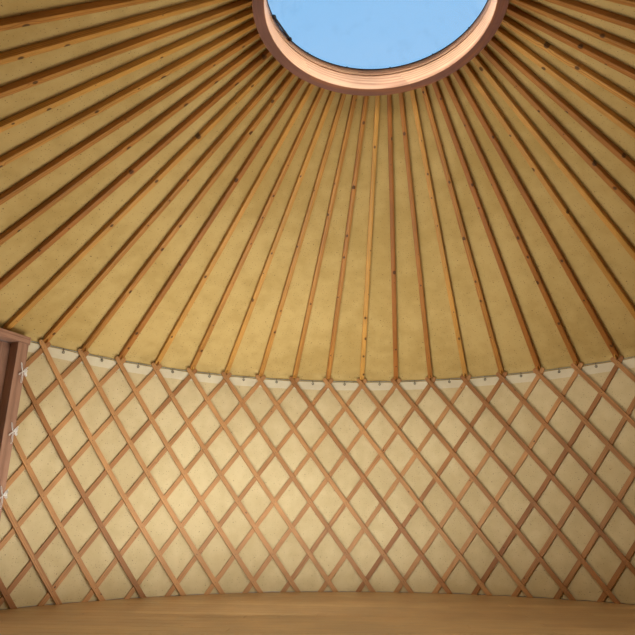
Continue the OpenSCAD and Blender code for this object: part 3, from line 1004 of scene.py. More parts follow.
@dataclass
class Platform:
    """The boarded floor on its joists, with the rim board round it."""

    finishes: Finishes
    chance: random.Random
    board_width: float = 0.125
    board_turn: float = math.radians(109.0)
    board_longest: float = 4.2
    joint: float = 1.2 * MM
    joist_width: float = 0.045
    joist_spacing: float = 0.45
    joist_rows: int = 6
    rim: float = 0.022
    rim_lengths: int = 8
    rim_joint_turn: float = 0.5 * MM
    frame_gap: float = 0.6 * MM
    arris: float = 1.4 * MM

    @property
    def radius(self) -> float:
        """The radius of the floor."""
        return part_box("floor_boards")[1].x

    def board(self, middle: float, start: float, end: float) -> BMesh | None:
        """One floor board, cut round at the rim and square at the door frame.

        Args:
            middle: the distance of its middle line from the middle of the floor.
            start: where it starts along its line.
            end: where it ends.

        Returns:
            The board in its place, or None where nothing is left of it.
        """
        part = bmesh.new()
        bmesh.ops.create_circle(part, cap_ends=True, segments=180, radius=self.radius)
        along = heading(self.board_turn)
        across = UP.cross(along)
        half = (self.board_width - self.joint) / 2
        for point, away in (
            (across * (middle + half), across), (across * (middle - half), -across),
            (along * (end - self.joint / 2), along), (along * (start + self.joint / 2), -along),
        ):
            bmesh.ops.bisect_plane(
                part, geom=everything(part), plane_co=point, plane_no=away, clear_outer=True,
            )
        side, back = PLAN.frame_half + self.frame_gap, PLAN.frame_back - self.frame_gap
        for point, away in ((-BACK * back, BACK), (RIGHT * side, RIGHT), (-RIGHT * side, RIGHT)):
            bmesh.ops.bisect_plane(part, geom=everything(part), plane_co=point, plane_no=away)
        centres = {face: face.calc_center_median() for face in part.faces}
        taken = [face for face, at in centres.items() if at.y < -back and abs(at.x) < side]
        if taken:
            bmesh.ops.delete(part, geom=taken, context="FACES")
        if not part.faces:
            part.free()
            return None
        bmesh.ops.dissolve_faces(part, faces=part.faces[:])
        move(part, (0, 0, PLAN.joist_top))
        moved = bmesh.ops.extrude_face_region(part, geom=part.faces[:])["geom"]
        thickness = PLAN.floor - PLAN.joist_top
        bmesh.ops.translate(part, vec=UP * thickness, verts=only(BMVert, moved))
        bmesh.ops.recalc_face_normals(part, faces=part.faces)
        upper = [edge for edge in part.edges if min(v.co.z for v in edge.verts) > PLAN.floor - NEAR]
        soften(part, upper, self.arris)
        grain, shade = grain_and_tone(part)
        shift, tone = self.chance.uniform(0, 40), self.chance.random()
        for vert in part.verts:
            vert[grain] = (vert.co.dot(along) + shift, vert.co.dot(across) - middle, vert.co.z - PLAN.floor)
            vert[shade] = tone
        return part

    def boards(self) -> None:
        """The boards, each row laid in lengths that meet over the joists."""
        piece = Piece("laid_boards")
        rows = int(self.radius / self.board_width) + 1
        for row in range(-rows, rows):
            middle = (row + 0.5) * self.board_width
            near = max(abs(middle) - self.board_width / 2, 0.0)
            if near >= self.radius:
                continue
            reach = math.sqrt(self.radius ** 2 - near ** 2) + 0.01
            joints = [-reach]
            while reach - joints[-1] > self.board_longest:
                step = self.chance.choice((4, 5, 6, 7, 8)) * self.joist_spacing
                joints.append(round((joints[-1] + step) / self.joist_spacing) * self.joist_spacing)
            joints.append(reach)
            for start, end in zip(joints, joints[1:]):
                part = self.board(middle, start, end)
                if part is not None:
                    piece.take(part, self.finishes.floor)
        piece.publish(Slot.FLOOR, ["floor_boards"])

    def joists(self) -> None:
        """The joists, square to the boards."""
        piece = Piece("joist_frame")
        along = heading(self.board_turn - TURN / 4)
        across = UP.cross(along)
        inside = self.radius - self.rim - 1.5 * MM
        for row in range(-self.joist_rows, self.joist_rows + 1):
            middle = row * self.joist_spacing
            half = math.sqrt(inside ** 2 - (abs(middle) + self.joist_width / 2) ** 2)
            part = stamp_by_chance(planed_bar(2 * half, self.joist_width, PLAN.joist_top), self.chance)
            put(part, across * middle - along * half, along, across)
            if row == -self.joist_rows:
                trim(part, -BACK * (PLAN.frame_back - 1 * MM), -BACK)
            piece.take(part, self.finishes.floor)
        piece.publish(Slot.FLOOR, ["floor_joists"])

    def rim_board(self) -> None:
        """The bent rim board, in lengths that butt together."""
        piece = Piece("rim_board")
        gap = math.asin((PLAN.frame_half + 2 * MM) / (self.radius - self.rim))
        sweep = (TURN - 2 * gap) / self.rim_lengths
        profile = eased((self.radius - self.rim, 0.0), (self.radius, PLAN.joist_top), 2 * MM)
        for index in range(self.rim_lengths):
            start = -TURN / 4 + gap + index * sweep
            part = spun(profile, 24, start, sweep - self.rim_joint_turn)
            ring_grain(part, self.chance)
            piece.take(part, self.finishes.floor)
        piece.publish(Slot.FLOOR, ["platform_rim"])

    def build(self) -> None:
        """Builds the whole platform."""
        self.joists()
        self.rim_board()
        self.boards()


def ring_grain(part: BMesh, chance: random.Random) -> None:
    """Gives a bent part grain coordinates that follow the bend.

    Args:
        part: the part, in its place.
        chance: draws its shift and its tone.
    """
    grain, shade = grain_and_tone(part)
    shift, tone = chance.uniform(0, 40), chance.random()
    middle = sum((v.co for v in part.verts), Vector()) / len(part.verts)
    bearing = math.atan2(middle.y, middle.x)
    for vert in part.verts:
        radius = math.hypot(vert.co.x, vert.co.y)
        angle = (math.atan2(vert.co.y, vert.co.x) - bearing + math.pi) % TURN - math.pi
        vert[grain] = (angle * radius + shift, vert.co.z - middle.z, radius - PLAN.crown_outer)
        vert[shade] = tone


@dataclass
class Lattice:
    """The bent lattice wall: two layers of slats, each a bar of its own."""

    finishes: Finishes
    chance: random.Random
    width: float = 0.038
    thickness: float = 0.010
    row_step: float = 0.216
    tip: float = 0.0703
    inner_middle: float = 2.992
    outer_middle: float = 3.002
    sections: int = 11
    steps: int = 22
    near_door: float = 0.2
    door_gap: float = 0.015
    peg_gap: float = 0.06
    crossing_peg: float = 0.0032
    # The peg near the tip is dark to paint the shade inside the hole there.
    tip_shade_peg: float = 0.0028
    tip_shade_peg_at: float = 0.014

    @property
    def angle(self) -> float:
        """The angle of a slat above level."""
        return math.atan(self.row_step / (PLAN.radius * PLAN.bay / 2))

    @property
    def length(self) -> float:
        """The length of a slat before its foot is cut."""
        return self.tip + (PLAN.crossing - PLAN.floor) / sin(self.angle) + 0.03

    @property
    def reach(self) -> float:
        """How many bays a slat crosses between its top crossing and the floor."""
        return (PLAN.crossing - PLAN.floor) / (2 * self.row_step)

    def straight_slat(self) -> BMesh:
        """A straight slat along x, with a rounded tip at the origin.

        Returns:
            The closed slat.
        """
        part = block((self.length, self.width, self.thickness))
        move(part, (self.length / 2, 0, 0))
        corners = [
            edge for edge in part.edges
            if not lies_level(edge) and all(vert.co.x < TINY for vert in edge.verts)
        ]
        soften(part, corners, self.width * 0.49, 5)
        rim = [
            edge for edge in part.edges
            if lies_level(edge) and any(vert.co.x < self.length - 10 * TINY for vert in edge.verts)
        ]
        soften(part, rim, 1.1 * MM)
        slice_along(part, self.length, self.steps)
        return part

    def bend(self, part: BMesh, bay: float, layer: Layer) -> None:
        """Bends a straight part onto the wall.

        Args:
            part: the part, along x from the slat's tip.
            bay: the bay that the slat's top crossing is at.
            layer: the layer that it lies in.
        """
        lean = layer.value
        middle = self.inner_middle if layer is Layer.INNER else self.outer_middle
        cosine, sine = cos(self.angle), sin(self.angle)
        for vert in part.verts:
            x, y, z = vert.co.x - self.tip, vert.co.y, vert.co.z
            around = lean * cosine * x + sine * y
            height = PLAN.crossing - sine * x + lean * cosine * y
            place = bay + around / (PLAN.radius * PLAN.bay)
            vert.co = PLAN.point(place, middle + z, height)

    def slat(self, blank: BMesh, bay: int, layer: Layer) -> BMesh | None:
        """One slat, bent into its place and cut at the floor and beside the door.

        Args:
            blank: the straight slat that it is copied from.
            bay: the bay of its top crossing.
            layer: its layer.

        Returns:
            The slat, or None where none of it is left.
        """
        part = stamp_by_chance(blank.copy(), self.chance, 60)
        self.bend(part, bay, layer)
        ends = sorted((bay, bay + layer.value * self.reach))
        if ends[0] < PLAN.first + self.near_door:
            trim(part, Vector(), -PLAN.along(PLAN.first + self.door_gap))
        if part.verts and ends[1] > PLAN.last - self.near_door:
            trim(part, Vector(), PLAN.along(PLAN.last - self.door_gap))
        if part.verts:
            trim(part, Vector((0, 0, PLAN.floor)), -UP)
        if not part.verts:
            part.free()
            return None
        return part

    def pegs(self, piece: Piece, bay: float, layer: Layer) -> None:
        """The tapered dark pegs in a slat's inner face, one at each crossing and one near its tip, where the
        slat has a hole and the dark peg paints the shade inside it.

        Args:
            piece: takes the pegs.
            bay: the bay of the slat's top crossing.
            layer: the slat's layer.
        """
        step = self.row_step / sin(self.angle)
        heads = [
            (self.tip + row * step, self.crossing_peg) for row in range(int(2 * self.reach) + 1)
            if PLAN.first + self.peg_gap < bay + layer.value * row / 2 < PLAN.last - self.peg_gap
        ]
        # Painted shade: the dark peg near the tip stands for the shade inside the tip's hole.
        if PLAN.first < bay < PLAN.last:
            heads.append((self.tip_shade_peg_at, self.tip_shade_peg))
        for at, radius in heads:
            part = bmesh.new()
            bmesh.ops.create_cone(
                part, cap_ends=True, segments=8, radius1=radius, radius2=radius * 0.6, depth=1.6 * MM,
            )
            bmesh.ops.rotate(
                part, verts=part.verts, cent=(0, 0, 0), matrix=Matrix.Rotation(math.pi, 3, "X"),
            )
            move(part, (at, 0, -self.thickness / 2 - 0.3 * MM))
            self.bend(stamp(part), bay, layer)
            piece.take(part, self.finishes.dark)

    def build(self) -> None:
        """Builds the sections, each with the slats whose middles lie in it."""
        pieces = [Piece(f"lattice_slats_{index + 1}") for index in range(self.sections)]
        blank = self.straight_slat()
        span = (PLAN.last - PLAN.first) / self.sections
        bays = {Layer.INNER: range(2, 61), Layer.OUTER: range(-2, 57)}
        for layer in Layer:
            for bay in bays[layer]:
                part = self.slat(blank, bay, layer)
                if part is None:
                    continue
                middle = bay + layer.value * self.reach / 2
                index = min(max(int((middle - PLAN.first) / span), 0), self.sections - 1)
                pieces[index].take(part, self.finishes.lattice)
                if layer is Layer.INNER:
                    self.pegs(pieces[index], bay, layer)
        blank.free()
        for index, piece in enumerate(pieces):
            piece.publish(Slot.LATTICE, [f"lattice_{index + 1}"])


@dataclass
class Rafters:
    """The straight rafters, one to a bay."""

    finishes: Finishes
    chance: random.Random
    foot_width: float = 0.042
    crown_width: float = 0.030
    spare: float = 0.035
    foot: float = 2.9862
    tongue: tuple[float, float, float] = (0.06, 0.009, 0.034)
    tongue_start: float = 2.9525

    def rafter(self, bay: int) -> BMesh:
        """One rafter from its place on the crown to its foot, upright at both ends.

        Args:
            bay: the bay that its foot is at.

        Returns:
            The rafter in its place.
        """
        out, to_head = PLAN.out(bay), PLAN.out(bay + PLAN.lean(bay))
        head = to_head * PLAN.crown_outer + UP * PLAN.under(PLAN.crown_outer)
        run = PLAN.point(bay, PLAN.radius, PLAN.seat) - head
        down = run.normalized()
        length = run.length + 2 * self.spare
        part = planed_bar(length, self.crown_width, PLAN.rafter_depth, 3 * MM, 2)
        for vert in part.verts:
            vert.co.y *= 1 + vert.co.x / length * (self.foot_width / self.crown_width - 1)
        stamp(part, self.chance.random() ** 1.2, self.chance.uniform(0, 90))
        put(part, head - down * self.spare, down, UP.cross(down).normalized())
        trim(part, to_head * PLAN.crown_outer, -to_head)
        over_door = abs(bay) < PLAN.door_bays / 2
        trim(part, out * (PLAN.radius if over_door else self.foot), out)
        return part

    def tongue_in_fork(self, bay: int) -> BMesh:
        """The slim end of a rafter that rests on the cable between the tips of two slats.

        Args:
            bay: the bay that it is at.

        Returns:
            The end in its place.
        """
        part = stamp_by_chance(planed_bar(*self.tongue, 1.5 * MM), self.chance, 90)
        start = PLAN.point(bay, self.tongue_start, PLAN.seat + 1.5 * MM)
        return put(part, start, PLAN.out(bay), PLAN.along(bay))

    def build(self) -> None:
        """Builds the four runs of rafters."""
        runs = {"front": (-7, 7), "right": (8, 21), "back": (22, 36), "left": (37, 50)}
        for side, (first, last) in runs.items():
            piece = Piece(f"rafter_run_{side}")
            for bay in range(first, last + 1):
                piece.take(self.rafter(bay), self.finishes.rafter)
                if abs(bay) >= PLAN.door_bays / 2:
                    piece.take(self.tongue_in_fork(bay), self.finishes.rafter)
            piece.publish(Slot.RAFTER, [f"rafters_{side}"])


@dataclass
class Crown:
    """The laminated crown ring, its curb and seal, the clear dome and the dome's hinge bar."""

    finishes: Finishes
    chance: random.Random
    inner: float = 0.654
    curb_inner: float = 0.656
    curb_outer: float = 0.736
    segments: int = 6
    scarf: float = 0.11
    joint_turn: float = 0.9 * MM
    studs: int = 14
    first_stud: float = math.radians(191.0)
    stud_circle: float = 0.661
    dome_spring: float = 0.716
    dome_sheet: float = 0.005
    bar_turn: float = math.radians(-93.0)

    def segment(self, profile: Sequence[Pair], index: float, painted_shade_below: float) -> BMesh:
        """One segment of the ring or the curb, with painted shade underneath and a pale tone, painted as lit,
        elsewhere.

        Args:
            profile: its section.
            index: its number, counted round.
            painted_shade_below: the height below which it takes the painted shade.

        Returns:
            The segment in its place.
        """
        sweep = TURN / self.segments
        part = spun(profile, 24, index * sweep, sweep - self.joint_turn)
        ring_grain(part, self.chance)
        shade = part.verts.layers.float["tone"]
        for vert in part.verts:
            # Painted shade: the underside takes the full deep tone, and the rest is pulled pale as if lit.
            vert[shade] = 1.0 if vert.co.z < painted_shade_below else vert[shade] * 0.35
        return part

    def ring(self) -> None:
        """The ring, in segments that meet at slanting scarf joints."""
        piece = Piece("crown_hoop")
        low, high = (b.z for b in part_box("crown_ring"))
        profile = eased((self.inner, low), (PLAN.crown_outer, high), 3.5 * MM)
        for index in range(self.segments):
            # The ring's underside, up to half a millimetre above its foot, takes the painted shade.
            part = self.segment(profile, index, low + 0.5 * MM)
            for vert in part.verts:
                slant = (vert.co.z - low) / (high - low) * self.scarf
                vert.co.rotate(Matrix.Rotation(slant, 3, "Z"))
            piece.take(part, self.finishes.crown)
        piece.publish(Slot.CROWN, ["crown_ring"])

    def curb(self) -> None:
        """The curb on the ring, in segments, with a groove along the foot of its inner face."""
        piece = Piece("crown_kerb")
        low, high = (b.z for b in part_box("crown_curb"))
        groove, ease = 6 * MM, 3 * MM
        profile = [
            (self.curb_inner + 2 * groove, low + 0.3 * MM), (self.curb_outer, low + 0.3 * MM),
            (self.curb_outer, high - ease), (self.curb_outer - ease, high),
            (self.curb_inner + ease, high), (self.curb_inner, high - ease),
            (self.curb_inner, low + groove), (self.curb_inner + 2 * groove, low + groove),
        ]
        for index in range(self.segments):
            # No part of the curb lies below its foot, so all of it takes the pale tone painted as lit.
            piece.take(self.segment(profile, index + 0.5, low), self.finishes.crown)
        piece.publish(Slot.CROWN, ["crown_curb"])

    def seal(self) -> None:
        """The soft seal that the dome lies on, with the studs that hold it."""
        piece = Piece("seal_ring")
        low, high = (b.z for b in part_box("dome_seal"))
        profile = eased((self.inner, low), (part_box("dome_seal")[1].x, high), 1.5 * MM)
        piece.take(stamp(spun(profile, 144)), self.finishes.rubber)
        for index in range(self.studs):
            out = heading(self.first_stud + TURN * index / self.studs)
            foot = out * self.stud_circle + UP * (high - 0.5 * MM)
            piece.fit(round_bar(0.0045, 0.009, 12, 1 * MM), self.finishes.rubber, foot, UP, out)
        piece.publish(Slot.SEAL, ["dome_seal"])

    def dome(self) -> None:
        """The clear dome with its flat flange, as one moulded sheet."""
        piece = Piece("moulded_dome")
        low, high = (b.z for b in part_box("dome"))
        flange, sheet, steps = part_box("dome")[1].x, self.dome_sheet, 22
        rise = high - low
        ball = (self.dome_spring ** 2 + rise ** 2) / (2 * rise)
        reach = math.asin(self.dome_spring / ball)
        arc = [reach * (1 - step / steps) for step in range(steps + 1)]

        def shell(radius: float, foot: float) -> list[Pair]:
            """The dome's curve at a radius of the ball, from above a foot to the middle."""
            curve = [(radius * sin(a), high - ball + radius * cos(a)) for a in arc]
            return [(r, z) for r, z in curve if z > foot]

        outside, inside = shell(ball, low + sheet + 2 * MM), shell(ball - sheet, low + 1 * MM)
        profile = [
            *reversed(inside), (inside[0][0] + 2 * MM, low), (flange, low), (flange, low + sheet),
            (outside[0][0] + 7 * MM, low + sheet), *outside,
        ]
        piece.take(stamp(spun(profile, 128, closed=False)), self.finishes.dome)
        piece.publish(Slot.DOME, ["dome"], crease=50.0)

    def hinge_bar(self) -> None:
        """The slim dark bar on the side over the door, with its two end fittings."""
        piece = Piece("dome_bar")
        dark = self.finishes.dark
        out = heading(self.bar_turn)
        across = UP.cross(out)
        thick, length, depth, stand = 0.009, 0.232, 0.014, 0.633
        level = UP * (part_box("dome_hinge_bar")[1].z - 0.010)
        start = out * stand - across * (length / 2) + level
        piece.fit(planed_bar(length, depth, thick, 2 * MM, 2), dark, start, across, UP)
        for along in (0.07, 0.93):
            at = across * (length * (along - 0.5)) + level
            knob, cap = round_bar(0.0115, 0.007, 24, 1.5 * MM), round_bar(0.012, 0.005, 20, 1.5 * MM)
            piece.fit(knob, dark, at + out * (stand + thick - 1 * MM), out, across)
            piece.fit(cap, dark, at + out * (stand - 4 * MM), out, across)
        piece.publish(Slot.DARK, ["dome_hinge_bar"])

    def build(self) -> None:
        """Builds the crown from the ring up."""
        self.ring()
        self.curb()
        self.seal()
        self.dome()
        self.hinge_bar()


class Sheeting:
    """The way of making cloth that the linings and the covers share."""

    def sheet(
        self, columns: int, rows: int, shape: Callable[[float, float], Vector], flat: Pair, thickness: float,
    ) -> BMesh:
        """A sheet of cloth laid to a shape.

        Args:
            columns: how many columns of weave cells.
            rows: how many rows.
            shape: gives the point of the cloth's middle at shares u and v of its width and length.
            flat: the width and length that its flecks and weave are laid out on.
            thickness: its thickness.

        Returns:
            The closed sheet.
        """
        part = bmesh.new()
        bmesh.ops.create_grid(part, x_segments=columns, y_segments=rows, size=0.5)
        grain, shade = grain_and_tone(part)
        for vert in part.verts:
            u, v = vert.co.x + 0.5, vert.co.y + 0.5
            vert[grain] = (u * flat[0], v * flat[1], 0.0)
            vert[shade] = MIDDLE_TONE
            vert.co = shape(u, v)
        bmesh.ops.recalc_face_normals(part, faces=part.faces)
        part.normal_update()
        for vert in part.verts:
            vert.co += vert.normal * (thickness / 2)
        bmesh.ops.solidify(part, geom=part.faces[:], thickness=thickness)
        bmesh.ops.recalc_face_normals(part, faces=part.faces)
        return part


def ripple(place: float, height: float, seed: float) -> float:
    """A smooth unevenness from -1 to 1 that comes round again after a full turn."""
    turn = PLAN.turn(place)
    return (
        sin(3 * turn + seed) * 0.35 + sin(11 * turn - 2.1 * height + 2 * seed) * 0.3
        + sin(29 * turn + 5 * height + seed) * 0.2 + sin(67 * turn - 9 * height - seed) * 0.15
    )


def freed(share: float, start: float, end: float) -> float:
    """How free a held cloth is at a share of its length, easing from 0 over a share at each end."""
    return min(share / start, 1.0) * min((1 - share) / end, 1.0)


@dataclass
class Linings(Sheeting):
    """The roof liner, the wall liner with its hem band and hooks, and the cable in the slat forks."""

    finishes: Finishes
    chance: random.Random
    sag: float = 6 * MM
    leg: float = 3.0172
    cable_height: float = 1.9696
    cable_radius: float = 3.0119
    liner_top: float = 1.958
    crown_edge: float = 0.7385
    eave: float = 2.998
    eave_drop: float = 0.022
    roof_seam: float = 17.4
    cloth: float = 1.4 * MM

    def roof(self) -> None:
        """The roof liner on top of the rafters, turned down over the fork tips at the eave."""
        rise = PLAN.plumb(PLAN.rafter_depth) + 2.6 * MM
        inside, corner = self.crown_edge, self.eave
        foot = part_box("roof_liner")[0].z + 4 * MM
        slope_length = (corner - inside) / cos(PLAN.slope)
        top = PLAN.under(corner) + rise
        bend_length = math.hypot(self.leg - corner, self.eave_drop)
        leg_length = top - self.eave_drop - foot
        total = slope_length + bend_length + leg_length

        def shape(u: float, v: float) -> Vector:
            """Slack between two rafters on the slope, then round the eave and straight down.

            Args:
                u: the share of the way round.
                v: the share of the way from the crown to the foot.

            Returns:
                The point of the cloth.
            """
            line = self.roof_seam + u * PLAN.bay_count
            run = v * total
            slack = sin(math.pi * line) ** 2
            place = line
            if run <= slope_length:
                share = run / slope_length
                radius = inside + share * (corner - inside)
                place = PLAN.along_rafter(line, radius)
                ease = freed(share, 0.08, 0.03)
                hang = self.sag * slack * ease * (0.8 + 0.35 * ripple(place, radius, 1.3))
                hang += 1.2 * MM * ease * slack * sin(40 * radius + 3 * sin(place))
                normal = PLAN.out(place) * sin(PLAN.slope) + UP * cos(PLAN.slope)
                return PLAN.point(place, radius, PLAN.under(radius) + rise) - normal * max(hang, 0.0)
            if run <= slope_length + bend_length:
                share = (run - slope_length) / bend_length
                radius = corner + (self.leg - corner) * sin(share * TURN / 4)
                return PLAN.point(place, radius, top - self.eave_drop * (1 - cos(share * TURN / 4)))
            drop = run - slope_length - bend_length
            return PLAN.point(place, self.leg, top - self.eave_drop - drop)

        piece = Piece("roof_lining")
        part = self.sheet(348, 44, shape, (PLAN.bay_count * PLAN.bay * 2.0, total), self.cloth)
        self.open_over_door(part)
        piece.take(part, self.finishes.liner)
        lining = piece.publish(Slot.LINER, ["roof_liner"], crease=60.0)

    def open_over_door(self, part: BMesh) -> None:
        """Takes the leg of the roof liner off the door head.

        Args:
            part: the liner.
        """
        side, top, front = PLAN.frame_half + 0.016, PLAN.seat + 4 * MM, -2.9
        centres = [(face, face.calc_center_median()) for face in part.faces]
        taken = [face for face, at in centres if at.y < front and abs(at.x) < side and at.z < top]
        bmesh.ops.delete(part, geom=taken, context="FACES")
        edges = [edge for edge in part.edges if edge.is_boundary]
        if edges:
            bmesh.ops.holes_fill(part, edges=edges, sides=0)
        bmesh.ops.recalc_face_normals(part, faces=part.faces)

    def wall(self) -> None:
        """The wall liner behind the lattice, pressed a little through each window of it."""
        end_radius, behind, laid_out = 3.0135, 3.0141, 3.0138
        first = math.asin((PLAN.frame_half + 16 * MM) / end_radius) / PLAN.bay
        span = PLAN.bay_count - 2 * first
        foot = PLAN.floor + 1.5 * MM
        height = self.liner_top - foot

        def shape(u: float, v: float) -> Vector:
            """A swelling in each window of the lattice, and a wavy hem at the floor.

            Args:
                u: the share of the way round.
                v: the share of the way up.

            Returns:
                The point of the cloth.
            """
            place = first + u * span
            level = foot + v * height
            drop = (PLAN.crossing - level) / (2 * Lattice.row_step)
            window = abs(sin(math.pi * (place - drop)) * sin(math.pi * (place + drop)))
            fade = min(1.0, (1 - v) / 0.06, u / 0.006, (1 - u) / 0.006)
            radius = behind - 4.5 * MM * window * fade - 0.6 * MM * (1 + ripple(place, level, 0.4)) * fade
            wave = 3 * MM * (1 + ripple(place * 3, 0, 2.2)) * max(0.0, 1 - v * 12)
            return PLAN.point(place, radius, level + wave)

        piece = Piece("wall_lining")
        width = span * PLAN.bay * laid_out
        part = self.sheet(444, 54, shape, (width, height), self.cloth)
        piece.take(part, self.finishes.wall_liner)
        lining = piece.publish(Slot.LINER, ["wall_liner"], crease=60.0)
        band = self.hem_band(first, span)
        hooks = self.hooks()

    def hem_band(self, first: float, span: float) -> Object:
        """The whitish band that is sewn along the wall liner's top edge.

        Args:
            first: the place that it starts at, in bays.
            span: how many bays it covers.

        Returns:
            The object.
        """
        low, high = 1.884, 1.9605

        def shape(u: float, v: float) -> Vector:
            """Held at the hooks and a little lower between them.

            Args:
                u: the share of the way round.
                v: the share of the way up.

            Returns:
                The point of the cloth.
            """
            place = first + u * span
            pull = abs(sin(math.pi * place)) ** 3
            level = low + v * (high - low) + 2 * MM * ripple(place * 2, v, 0.9) - (1 - pull) * 3 * MM * v
            return PLAN.point(place, 3.0105 - 0.6 * MM * pull, level)

        piece = Piece("liner_hem_band")
        part = self.sheet(330, 4, shape, (span * PLAN.bay * 3.01, high - low), 1.0 * MM)
        piece.take(part, self.finishes.hem)
        return piece.publish(Slot.LINER, crease=60.0)

    def hooks(self) -> Object:
        """The dark hooks that hang the wall liner on the cable, one in the middle of each bay.

        Returns:
            The object.
        """
        piece = Piece("liner_hooks")
        wire, crook_radius, loop, loop_wire = 1.6 * MM, 4.4 * MM, 0.0088, 2.5 * MM
        radius = self.cable_radius * cos(PLAN.bay / 2)
        front, top = radius - crook_radius, self.cable_height + 4.2 * MM
        for bay in range(2, 56):
            place = bay + 0.5 + self.chance.uniform(-0.05, 0.05)
            out, along = PLAN.out(place), PLAN.along(place)
            middle = PLAN.point(place, radius, self.cable_height)
            crook = [
                middle + out * (crook_radius * cos(a)) + UP * (crook_radius * sin(a))
                for a in (-0.6, 0.3, 1.2, 2.1, 3.0)
            ]
            stem = [PLAN.point(place, front, top - drop) for drop in (0.012, 0.018, 0.024)]
            piece.take(stamp(bent_rod(crook + stem, wire)), self.finishes.dark)
            eye = PLAN.point(place, front, top - 0.033)
            ring = [
                eye + along * (loop * sin(a)) + UP * (loop * cos(a)) - out * (0.3 * MM * a)
                for a in (0.25, 0.9, 1.55, 2.2, 2.85, 3.5, 4.15, 4.8, 5.45, 6.0)
            ]
            piece.take(stamp(bent_rod(ring, loop_wire)), self.finishes.dark)
        return piece.publish(Slot.DARK)

    def cable(self) -> None:
        """The cable, straight from fork to fork and fixed to the door frame."""
        piece = Piece("wall_cable_line")
        start = math.asin((PLAN.frame_half + 1 * MM) / self.cable_radius) / PLAN.bay
        places = [start, *range(2, PLAN.bay_count - 1), PLAN.bay_count - start]
        path = [PLAN.point(place, self.cable_radius, self.cable_height) for place in places]
        part = bent_rod(path, 2.9 * MM, 10)
        ring_grain(part, self.chance)
        piece.take(part, self.finishes.cable)
        piece.publish(Slot.STEEL, ["wall_cable"], crease=60.0)

    def build(self) -> None:
        """Builds the cable and then the cloth that hangs from it."""
        self.cable()
        self.roof()
        self.wall()


